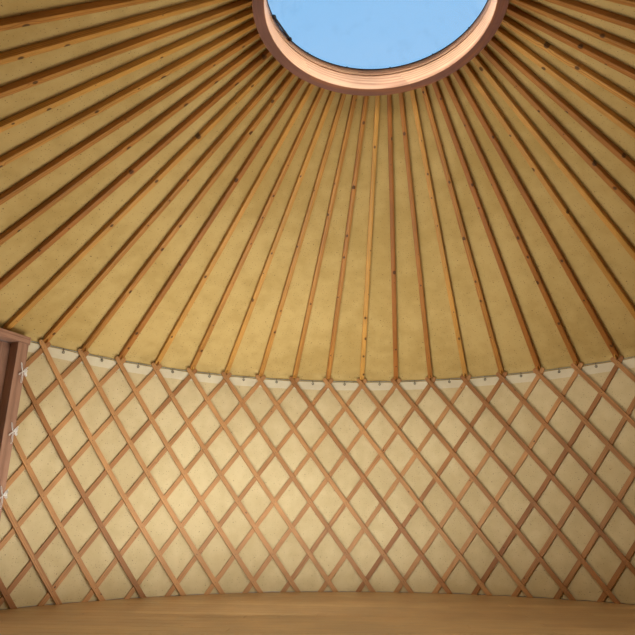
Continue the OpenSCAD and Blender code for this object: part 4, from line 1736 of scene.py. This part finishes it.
@dataclass
class Covers(Sheeting):
    """The outer canvas and the felt under it, on the wall and on the roof."""

    finishes: Finishes
    panels: int = 4
    wall_inner: float = 3.020
    wall_outer: float = 3.045
    wall_foot: float = 0.040
    wall_top: float = 2.000
    cloth: float = 2.2 * MM
    felt_middle: float = 3.0305
    head_foot: float = 1.917
    crown_edge: float = 0.7395
    skirt: float = 3.0515
    skirt_foot: float = 1.856

    def edge(self, level: float) -> float:
        """The place beside the door, in bays, where the wall cover ends at a height."""
        clear = 16 * MM if level > self.head_foot else 1.5 * MM
        return math.asin((PLAN.frame_half + clear) / self.wall_inner) / PLAN.bay

    def wall_place(self, index: int, u: float, level: float) -> float:
        """The place of a point on a wall panel.

        Args:
            index: the panel's number.
            u: the share of the way across the panel.
            level: the height.

        Returns:
            The place in bays.
        """
        span = (PLAN.bay_count - 2 * PLAN.first) / self.panels
        start = PLAN.first + index * span
        end = start + span
        if index == 0:
            start = self.edge(level)
        if index == self.panels - 1:
            end = PLAN.bay_count - self.edge(level)
        return start + u * (end - start)

    def wall_panel(self, index: int) -> None:
        """One panel of the wall cover: canvas with soft upright folds, and felt behind it.

        Args:
            index: the panel's number.
        """
        height = self.wall_top - self.wall_foot

        def shape(u: float, v: float) -> Vector:
            """Soft folds, a sewn hem at the foot and a seam at both sides.

            Args:
                u: the share of the way across.
                v: the share of the way up.

            Returns:
                The point of the canvas.
            """
            level = self.wall_foot + v * height
            place = self.wall_place(index, u, level)
            fold = 2.2 * MM * ripple(place, 0.4 * level, 0.7) + 1.0 * MM * ripple(4 * place, 0.2 * level, 3.1)
            hem = 1.2 * MM * math.exp(-((level - self.wall_foot - 0.045) / 0.006) ** 2)
            seam = 1.5 * MM * math.exp(-(min(u, 1 - u) * 200) ** 2)
            return PLAN.point(place, self.wall_outer - 1.5 * MM + fold - hem + seam, level)

        def padding(u: float, v: float) -> Vector:
            """The felt, behind the canvas."""
            level = self.wall_foot + 0.02 + v * (height - 0.025)
            return PLAN.point(self.wall_place(index, u, level), self.felt_middle, level)

        quarter = PLAN.bay_count / self.panels * PLAN.bay * self.wall_outer
        canvas = Piece(f"wall_canvas_{index + 1}")
        canvas.take(self.sheet(168, 60, shape, (quarter, height), self.cloth), self.finishes.canvas)
        shown = canvas.publish(Slot.CANVAS, [f"wall_cover_{index + 1}"], crease=60.0)
        low, high = self.wall_place(index, 0, 1.0), self.wall_place(index, 1, 1.0)
        width = (high - low) * PLAN.bay * self.wall_outer
        felt = Piece(f"wall_felt_{index + 1}")
        felt.take(self.sheet(84, 12, padding, (width, height), 20 * MM), self.finishes.felt)
        felt.publish(Slot.CANVAS, crease=40.0)

    def skirt_low(self, point: Vector) -> float:
        """The height that the skirt hangs to, higher over the door."""
        near = abs(point.x) < 0.56 and point.y < 0
        return PLAN.seat + 0.011 if near else self.skirt_foot

    def roof_panel(self, index: int) -> None:
        """One panel of the roof cover: canvas on the slope with a hanging skirt, and felt under it.

        Args:
            index: the panel's number.
        """
        inside = self.crown_edge
        rise = PLAN.plumb(PLAN.cover_room + 2 * MM) + 1 * MM
        deep = PLAN.plumb(0.025)
        corner = self.skirt - 0.02
        slope_length = (corner - inside) / cos(PLAN.slope)
        start, span = index * PLAN.bay_count / self.panels, PLAN.bay_count / self.panels
        top = PLAN.under(corner) + rise + deep - self.cloth / 2
        bend, drop = 0.026, 0.018
        skirt_length = top - drop - self.skirt_foot
        total = slope_length + bend + skirt_length

        def shape(u: float, v: float) -> Vector:
            """Ridges over the rafters, then round the eave and down the waving skirt.

            Args:
                u: the share of the way across.
                v: the share of the way from the crown to the foot.

            Returns:
                The point of the canvas.
            """
            place = start + u * span
            run = v * total
            if run <= slope_length:
                share = run / slope_length
                radius = inside + share * (corner - inside)
                line = 2 * place - PLAN.along_rafter(place, radius)
                ridge = 2.5 * MM * sin(math.pi * line) ** 2 * freed(share, 0.05, 0.04)
                uneven = 1.2 * MM * (1 + ripple(place, radius, 2.0)) * min((1 - share) / 0.04, 1.0)
                level = PLAN.under(radius) + rise + deep - self.cloth / 2 - ridge - uneven
                return PLAN.point(place, radius, level)
            if run <= slope_length + bend:
                share = (run - slope_length) / bend
                radius = corner + (self.skirt - corner) * sin(share * TURN / 4)
                return PLAN.point(place, radius, top - drop * (1 - cos(share * TURN / 4)))
            share = (run - slope_length - bend) / skirt_length
            foot = self.skirt_low(PLAN.point(place, self.skirt, 0))
            level = (top - drop) * (1 - share) + foot * share
            flare = share * (1.5 * MM + 3.0 * MM * (1 + ripple(2 * place, 0, 1.1)))
            wave = share * 3 * MM * ripple(3 * place, 0, 4.0)
            return PLAN.point(place, self.skirt + flare, level + wave)

        def padding(u: float, v: float) -> Vector:
            """The felt, under the canvas."""
            radius = inside + v * (self.skirt - 0.012 - inside)
            return PLAN.point(start + u * span, radius, PLAN.under(radius) + rise + 0.0135)

        arc = PLAN.bay * span
        canvas = Piece(f"roof_canvas_{index + 1}")
        canvas.take(self.sheet(174, 62, shape, (arc * 2.2, total), self.cloth), self.finishes.canvas)
        shown = canvas.publish(Slot.CANVAS, [f"roof_cover_{index + 1}"], crease=60.0)
        felt = Piece(f"roof_felt_{index + 1}")
        felt.take(self.sheet(87, 16, padding, (arc * 2.2, total), 17 * MM), self.finishes.felt)
        felt.publish(Slot.CANVAS, crease=40.0)

    def build(self) -> None:
        """Builds the wall panels and the roof panels."""
        for index in range(self.panels):
            self.wall_panel(index)
            self.roof_panel(index)


@dataclass
class DoorFrame:
    """Sill beam, threshold, jambs and head plank, with the lashings that hold the lattice to the jambs."""

    finishes: Finishes
    chance: random.Random
    cord: float = 1.9 * MM
    loops: tuple[Pair, ...] = ((1.9, 0.065), (0.8, 0.055), (0.1, 0.035), (-1.6, 0.085), (-2.4, 0.045))

    def bar(self, name: str, part: BMesh, node: str, origin: Vector, along: Vector, across: Vector) -> None:
        """Publishes one member of the frame in its place.

        Args:
            name: the piece's name.
            part: the member.
            node: the solid that it is shown in place of.
            origin: where its origin goes.
            along: where its x points.
            across: where its y points.
        """
        piece = Piece(name)
        stamp_by_chance(part, self.chance)
        piece.take(put(part, origin, along, across), self.finishes.door)
        piece.publish(Slot.DOOR, [node])

    def sill(self) -> None:
        """The sill beam on the ground and the threshold on it."""
        for name, node, arris in (
            ("sill_timber", "door_sill_beam", 3 * MM), ("threshold_step", "door_threshold", 5 * MM),
        ):
            low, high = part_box(node)
            size = high - low
            part = planed_bar(size.x, size.y, size.z, arris, 2)
            origin = Vector((low.x, (low.y + high.y) / 2, low.z))
            self.bar(name, part, node, origin, RIGHT, BACK)

    def jambs(self) -> None:
        """The two jambs, each with the rebate that the leaf closes into."""
        low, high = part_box("door_jamb_right")
        rebate, rear = 0.012, 0.053
        for name, node, side in (
            ("jamb_post_right", "door_jamb_right", 1), ("jamb_post_left", "door_jamb_left", -1),
        ):
            profile = [
                (side * (low.x + rebate), low.y), (side * high.x, low.y), (side * high.x, high.y),
                (side * low.x, high.y), (side * low.x, low.y + rear), (side * (low.x + rebate), low.y + rear),
            ]
            part = moulding(profile, high.z - low.z, 2 * MM)
            self.bar(name, part, node, UP * low.z, UP, RIGHT)

    def head(self) -> None:
        """The head plank with its rounded ends."""
        low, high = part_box("door_head")
        part = block(high - low)
        soften(part, [edge for edge in part.edges if not lies_level(edge)], 0.018, 5)
        level = [edge for edge in part.edges if lies_level(edge) and edge.calc_face_angle(0.0) > 1.0]
        soften(part, level, 3 * MM, 2)
        self.bar("head_plank", part, "door_head", (low + high) / 2, RIGHT, BACK)

    def lashing(self, piece: Piece, side: int, level: float) -> None:
        """White cord wound both ways round a crossing beside the jamb, with its knot and its bow.

        Args:
            piece: takes the cord.
            side: 1 at the right jamb and -1 at the left one.
            level: the crossing's height.
        """
        place = PLAN.first + 0.12 if side > 0 else PLAN.last - 0.12
        middle = PLAN.point(place, 2.9975, level)
        along, out = PLAN.along(place), PLAN.out(place)
        turns, points = 4, 14
        for lean in (-1, 1):
            direction = (UP * sin(1.0) + along * lean * cos(1.0)).normalized()
            sideways = direction.cross(out)
            path: list[Vector] = []
            for step in range(turns * points + 1):
                angle = step / points * TURN
                slide = (step / points - turns / 2) * 2.2 * self.cord
                path.append(
                    middle + direction * (cos(angle) * 0.029) + out * (sin(angle) * 0.0125 - 0.001)
                    + sideways * slide
                )
            piece.take(stamp(bent_rod(path, self.cord)), self.finishes.lashing)
        knot = bmesh.new()
        bmesh.ops.create_icosphere(knot, subdivisions=2, radius=5.5 * MM)
        bmesh.ops.scale(knot, vec=(1.0, 1.0, 0.8), verts=knot.verts)
        for vert in knot.verts:
            vert.co *= 1 + 0.12 * sin(vert.co.x * 1900) * cos(vert.co.z * 1700)
        piece.fit(knot, self.finishes.lashing, middle - out * 0.0155, RIGHT, BACK)
        self.bow(piece, side, level)

    def bow(self, piece: Piece, side: int, level: float) -> None:
        """The closed loops that tie a lashing, flat on the jamb's inner face beside its outer edge.

        Args:
            piece: takes the cord.
            side: 1 at the right jamb and -1 at the left one.
            level: the crossing's height.
        """
        face = Vector((side * (PLAN.frame_half - 0.022), -PLAN.frame_back + 3 * MM, level - 0.008))
        across, points = RIGHT * side, 12
        for index, (turn, length) in enumerate(self.loops):
            ahead = across * cos(turn) + UP * sin(turn)
            beside = across * -sin(turn) + UP * cos(turn)
            off = BACK * ((1 + index) * 0.9 * self.cord)
            path = [
                face + off + ahead * (length * sin(step / points * TURN / 2))
                + beside * (0.07 * length * sin(step / points * TURN))
                for step in range(points + 1)
            ]
            piece.take(stamp(bent_rod(path, self.cord)), self.finishes.lashing)
        knot = bmesh.new()
        bmesh.ops.create_icosphere(knot, subdivisions=2, radius=6.5 * MM)
        piece.fit(knot, self.finishes.lashing, face + BACK * (5 * MM), RIGHT, BACK)

    def lashings(self) -> None:
        """The lashings at four crossings beside each jamb."""
        piece = Piece("jamb_lashings")
        for side in (1, -1):
            for row in (1, 3, 5, 7):
                self.lashing(piece, side, PLAN.crossing - row * Lattice.row_step)
        piece.publish(Slot.LINER)

    def build(self) -> None:
        """Builds the frame from the ground up."""
        self.sill()
        self.jambs()
        self.head()
        self.lashings()


@dataclass
class DoorLeaf:
    """The leaf of stiles and rails with its panel, glazing, handle and hinges."""

    finishes: Finishes
    chance: random.Random
    stile: float = 0.090
    bead: float = 0.013
    hinge_drops: tuple[float, float, float] = (0.200, 0.870, 1.540)

    def member(self, piece: Piece, low: Vector, high: Vector, upright: bool) -> None:
        """One stile or rail.

        Args:
            piece: takes it.
            low: its lower corner.
            high: its upper corner.
            upright: whether its grain runs upright.
        """
        size = high - low
        length, width = (size.z, size.x) if upright else (size.x, size.z)
        part = stamp_by_chance(planed_bar(length, width, size.y), self.chance)
        along, across = (UP, -RIGHT) if upright else (RIGHT, UP)
        start = (low + high) / 2 - along * (length / 2)
        start.y = high.y
        piece.take(put(part, start, along, across), self.finishes.door)

    def frame_members(self) -> None:
        """The two stiles and the three rails."""
        low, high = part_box("door_leaf")
        panel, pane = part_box("door_panel"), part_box("door_glass")
        piece = Piece("leaf_frame")
        for x in (low.x, high.x - self.stile):
            self.member(piece, Vector((x, low.y, low.z)), Vector((x + self.stile, high.y, high.z)), True)
        left, right = low.x + self.stile + 0.2 * MM, high.x - self.stile - 0.2 * MM
        for foot, top in ((low.z, panel[0].z), (panel[1].z, pane[0].z), (pane[1].z, high.z)):
            self.member(piece, Vector((left, low.y, foot)), Vector((right, high.y, top)), False)
        piece.publish(Slot.DOOR, ["door_leaf"], body=Body.DOOR)

    def panel(self) -> None:
        """The lower panel with a raised field on both faces, held by beads."""
        low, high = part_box("door_panel")
        part = block(high - low)
        faces = [face for face in part.faces if abs(face.normal.y) > 0.9]
        bmesh.ops.inset_individual(part, faces=faces, thickness=0.042, depth=0.0)
        bmesh.ops.inset_individual(part, faces=faces, thickness=0.012, depth=0.004)
        stamp_by_chance(part, self.chance)
        grain = part.verts.layers.float_vector["grain"]
        for vert in part.verts:
            x, y, z = vert[grain]
            vert[grain] = (z, x, y)
        move(part, (low + high) / 2)
        piece = Piece("leaf_panel")
        piece.take(part, self.finishes.door)
        self.beads(piece, low, high)
        piece.publish(Slot.DOOR, ["door_panel"], body=Body.DOOR)

    def beads(self, piece: Piece, low: Vector, high: Vector) -> None:
        """Bevelled beads round an opening of the leaf, on both faces.

        Args:
            piece: takes the beads.
            low: the lower corner of what they hold.
            high: its upper corner.
        """
        leaf_low, leaf_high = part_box("door_leaf")
        lip = 3 * MM
        profile = [(0.0, 0.0), (self.bead, 0.0), (self.bead, lip), (lip, self.bead), (0.0, self.bead)]
        width, height = high.x - low.x, high.z - low.z - 2 * self.bead
        for face, inward in ((low.y, -1), (high.y, 1)):
            room = (leaf_high.y - high.y) if inward > 0 else (low.y - leaf_low.y)
            scale = min(1.0, (room - 1 * MM) / self.bead)
            corners = [(y, z * scale) for y, z in profile]
            for origin, along, across, length in (
                (Vector((low.x, face, low.z)), RIGHT, UP, width),
                (Vector((low.x, face, high.z)), RIGHT, -UP, width),
                (Vector((low.x, face, low.z + self.bead)), UP, RIGHT, height),
                (Vector((high.x, face, low.z + self.bead)), UP, -RIGHT, height),
            ):
                part = stamp_by_chance(moulding(corners, length, 0.0), self.chance)
                if along.cross(across).y * inward < 0:
                    bmesh.ops.scale(part, vec=(1, 1, -1), verts=part.verts)
                    bmesh.ops.reverse_faces(part, faces=part.faces)
                piece.take(put(part, origin, along, across), self.finishes.door)

    def glazing(self) -> None:
        """Two panes with a spacer between them, and the beads that hold them."""
        low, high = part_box("door_glass")
        size = high - low
        pane = 4 * MM
        piece = Piece("leaf_glazing")
        for y in (low.y, high.y - pane):
            part = planed_bar(size.x - 1 * MM, pane, size.z - 1 * MM, 0.5 * MM)
            origin = Vector((low.x + 0.5 * MM, y + pane / 2, low.z + 0.5 * MM))
            piece.fit(part, self.finishes.glass, origin, RIGHT, BACK)
        piece.publish(Slot.GLASS, ["door_glass"], body=Body.DOOR)
        beading = Piece("glazing_beads")
        self.beads(beading, low, high)
        gap, middle = size.y - 2 * pane - 0.4 * MM, (low.y + high.y) / 2
        for x, z, along, length in (
            (low.x, low.z + 5 * MM, RIGHT, size.x), (low.x, high.z - 9 * MM, RIGHT, size.x),
            (low.x + 9 * MM, low.z, UP, size.z), (high.x - 5 * MM, low.z, UP, size.z),
        ):
            spacer = planed_bar(length, gap, 4 * MM, 0.4 * MM)
            beading.fit(spacer, self.finishes.dark, Vector((x, middle, z)), along, BACK)
        beading.publish(Slot.DOOR, body=Body.DOOR)

    def handle(self) -> None:
        """A lever on each face of the leaf, on a back plate with two screws."""
        piece = Piece("lever_handle")
        leaf_low, leaf_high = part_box("door_leaf")
        box_low, box_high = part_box("door_handle")
        steel = self.finishes.steel
        x = box_low.x + 0.017
        z = (box_low.z + box_high.z) / 2
        plate_length, bend, reach, stand, radius = 0.150, 0.014, 0.118, 0.038, 0.0085
        for face, way in ((leaf_high.y, 1), (leaf_low.y, -1)):
            root, out = Vector((x, face, z)), BACK * way
            plate = planed_bar(plate_length, 0.034, 4 * MM, 1.4 * MM, 2)
            piece.fit(plate, steel, root - UP * (plate_length / 2), UP, RIGHT * -way)
            path = [root, root + out * (stand - bend)]
            for step in range(1, 7):
                angle = step / 6 * TURN / 4
                off = stand - bend + bend * sin(angle)
                path.append(root + RIGHT * (bend * (1 - cos(angle))) + out * off)
            path += [root + RIGHT * 0.05 + out * stand, root + RIGHT * reach + out * stand]
            lever = bent_rod(path, radius, 18)
            ends = [edge for edge in lever.edges if all(v.co.x > x + reach - NEAR for v in edge.verts)]
            soften(lever, ends, 3 * MM, 3)
            piece.take(stamp(lever), steel)
            piece.fit(round_bar(0.0135, 0.009, 24, 1.5 * MM), steel, root, out, UP)
            for offset in (-0.062, 0.062):
                screw = round_bar(0.0038, 0.0052, 12, 0.8 * MM)
                piece.fit(screw, steel, root + UP * offset, out, UP)
        piece.publish(Slot.STEEL, ["door_handle"], body=Body.DOOR)

    def hinges(self) -> None:
        """Three hinges: the leaf's knuckles and arms, and the frame's knuckles and plates."""
        pin = Vector(frame["joints"][0]["pos_m"])
        radius, third, ease = 0.006, 0.030, 0.8 * MM
        inner = third - 2 * MM
        leaf_low, leaf_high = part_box("door_leaf")
        flap_x = leaf_high.x - 0.036
        steel = self.finishes.steel
        on_leaf, on_frame = Piece("leaf_knuckles"), Piece("frame_knuckles")
        for drop in self.hinge_drops:
            level = leaf_low.z + drop
            foot = Vector((pin.x, pin.y, level - third / 2 + 1 * MM))
            on_leaf.fit(round_bar(radius, inner, 20, ease), steel, foot, UP, RIGHT)
            arm = planed_bar(pin.x - leaf_high.x + 8 * MM, inner, 7.2 * MM, ease)
            on_leaf.fit(arm, steel, Vector((leaf_high.x - 8 * MM, pin.y + 6 * MM, level)), RIGHT, UP)
            flap = planed_bar(0.036, inner, 5.4 * MM, ease)
            on_leaf.fit(flap, steel, Vector((flap_x, leaf_low.y, level)), RIGHT, UP)
            for x, z in ((0.010, -0.008), (0.010, 0.008), (0.022, 0.0)):
                screw = round_bar(0.003, 0.0068, 10, 0.6 * MM)
                on_leaf.fit(screw, steel, Vector((flap_x + x, leaf_low.y, level + z)), -BACK, UP)
            for side in (-1, 1):
                middle = level + side * third
                foot = Vector((pin.x, pin.y, middle - third / 2))
                on_frame.fit(round_bar(radius, third, 20, ease), steel, foot, UP, RIGHT)
                end = Vector((pin.x, pin.y, middle + side * third / 2))
                on_frame.fit(round_bar(0.0045, 2.5 * MM, 16, 1 * MM), steel, end, UP * side, RIGHT)
                start = Vector((pin.x, -PLAN.frame_front, middle))
                on_frame.fit(planed_bar(0.040, third, 3 * MM, ease), steel, start, RIGHT, UP)
                for x in (0.016, 0.031):
                    screw = round_bar(0.003, 0.0042, 10, 0.6 * MM)
                    on_frame.fit(screw, steel, start + RIGHT * x, -BACK, UP)
        on_leaf.publish(Slot.STEEL, ["leaf_hinges"], body=Body.DOOR)
        on_frame.publish(Slot.STEEL, ["frame_hinges"])

    def build(self) -> None:
        """Builds the leaf and what is fixed to it."""
        self.frame_members()
        self.panel()
        self.glazing()
        self.handle()
        self.hinges()


@dataclass
class Studio:
    """The pale floor, the plain light outside and inside the yurt, and the camera."""

    eye: tuple[float, float, float] = (2.6519, 0.7755, 0.687)
    forward: tuple[float, float, float] = (-0.86997, -0.37656, 0.31836)
    right: tuple[float, float, float] = (-0.39546, 0.91846, 0.00569)
    focal_share: float = 609.66 / 635
    sensor: float = 36.0

    def ground(self) -> None:
        """A wide pale floor, level with the yurt's foot."""
        part = bmesh.new()
        bmesh.ops.create_grid(part, x_segments=1, y_segments=1, size=60.0)
        mesh = bpy.data.meshes.new("studio_floor")
        part.to_mesh(mesh)
        part.free()
        material, g, shader = blank_finish("pale studio floor")
        place = g.node("TexCoord").outputs["Object"]
        shade = g.ease(g.noise(place, 0.4, 2.0), 0.2, 0.8, 0.78, 0.82)
        g.fill(shader, Base_Color=g.grey(shade), Roughness=0.9)
        mesh.materials.append(material)
        ground = bpy.data.objects.new("studio_floor", mesh)
        bpy.context.scene.collection.objects.link(ground)
        ground.location.z = -1 * MM

    def sky(self) -> None:
        """Even white light, seen and mirrored as a pale backdrop that turns blue overhead."""
        world = bpy.data.worlds.new("studio")
        bpy.context.scene.world = world
        world.use_nodes = True
        g = Graph(world.node_tree)
        g.tree.nodes.clear()
        rays = g.node("LightPath").outputs
        seen = g.math("MAXIMUM", rays["Is Camera Ray"], rays["Is Glossy Ray"])
        seen = g.math("MAXIMUM", seen, rays["Is Transmission Ray"])
        height = g.split(g.node("TexCoord").outputs["Generated"])[2]
        backdrop = g.mix(g.ease(height, 0.12, 0.75), (0.86, 0.87, 0.88), (0.30, 0.60, 0.95))
        plain = g.node("Background", (0.9, 0.9, 0.9, 1.0), 0.8)
        shown = g.node("Background", backdrop, 1.0)
        shader = g.node("MixShader", seen, plain.outputs[0], shown.outputs[0])
        output = g.node("OutputWorld")
        g.feed(output.inputs[0], shader.outputs[0])

    def lamp(
        self, name: str, size: float, watts: float, at: Vector, towards: Vector, mirrored: bool = True,
    ) -> None:
        """A soft round lamp that the camera doesn't see.

        Args:
            name: its name.
            size: its diameter.
            watts: its power.
            at: where it hangs.
            towards: the point that it faces.
            mirrored: whether it shows in reflections.
        """
        light = bpy.data.lights.new(name, "AREA")
        light.shape = "DISK"
        light.size = size
        light.energy = watts
        lamp = bpy.data.objects.new(name, light)
        lamp.location = at
        lamp.rotation_euler = (towards - at).to_track_quat("-Z", "Y").to_euler()
        lamp.visible_camera = False
        lamp.visible_glossy = mirrored
        lamp.visible_transmission = False
        bpy.context.scene.collection.objects.link(lamp)

    def light(self) -> None:
        """A key and a fill outside; inside, light down the crown, up off the floor and on the wall."""
        self.lamp("outside_key", 7.0, 1000.0, Vector((-7.0, -10.0, 10.0)), Vector((0, 0, 1.2)))
        self.lamp("outside_fill", 9.0, 350.0, Vector((10.0, 6.0, 6.0)), Vector((0, 0, 1.2)))
        self.lamp("dome_light", 1.16, 22.0, Vector((0, 0, 3.6)), Vector((0, 0, 0)), False)
        self.lamp("crown_light", 1.16, 26.0, Vector((0, 0, 3.437)), Vector((0, 0, 0)), False)
        self.lamp("floor_light", 2.4, 84.0, Vector((-1.1, -1.2, 0.17)), Vector((-1.3, -1.4, 3.0)), False)
        self.lamp("wall_light", 1.2, 11.0, Vector((-0.9, -1.0, 0.8)), Vector((-2.6, -1.8, 1.7)), False)

    def camera(self) -> None:
        """The camera at the eye point inside the yurt."""
        data = bpy.data.cameras.new("eye")
        data.sensor_width = self.sensor
        data.lens = self.focal_share * self.sensor
        data.clip_start = 0.02
        data.clip_end = 200.0
        camera = bpy.data.objects.new("eye", data)
        ahead, right = Vector(self.forward).normalized(), Vector(self.right).normalized()
        up = right.cross(ahead)
        matrix = Matrix((right, up, -ahead)).transposed().to_4x4()
        matrix.translation = Vector(self.eye)
        camera.matrix_world = matrix
        bpy.context.scene.collection.objects.link(camera)
        bpy.context.scene.camera = camera

    def build(self) -> None:
        """Sets up the studio."""
        bpy.context.scene.view_settings.view_transform = "Standard"
        self.camera()
        self.ground()
        self.sky()
        self.light()


def main() -> None:
    """Builds the yurt from the ground up and sets it in the studio."""
    logging.basicConfig(level=logging.INFO, format="%(message)s")
    finishes = Finishes()
    Studio().build()
    Platform(finishes, random.Random(1)).build()
    Lattice(finishes, random.Random(2)).build()
    Rafters(finishes, random.Random(3)).build()
    Crown(finishes, random.Random(4)).build()
    Linings(finishes, random.Random(5)).build()
    Covers(finishes).build()
    DoorFrame(finishes, random.Random(7)).build()
    DoorLeaf(finishes, random.Random(8)).build()


if __name__ == "__main__":
    main()
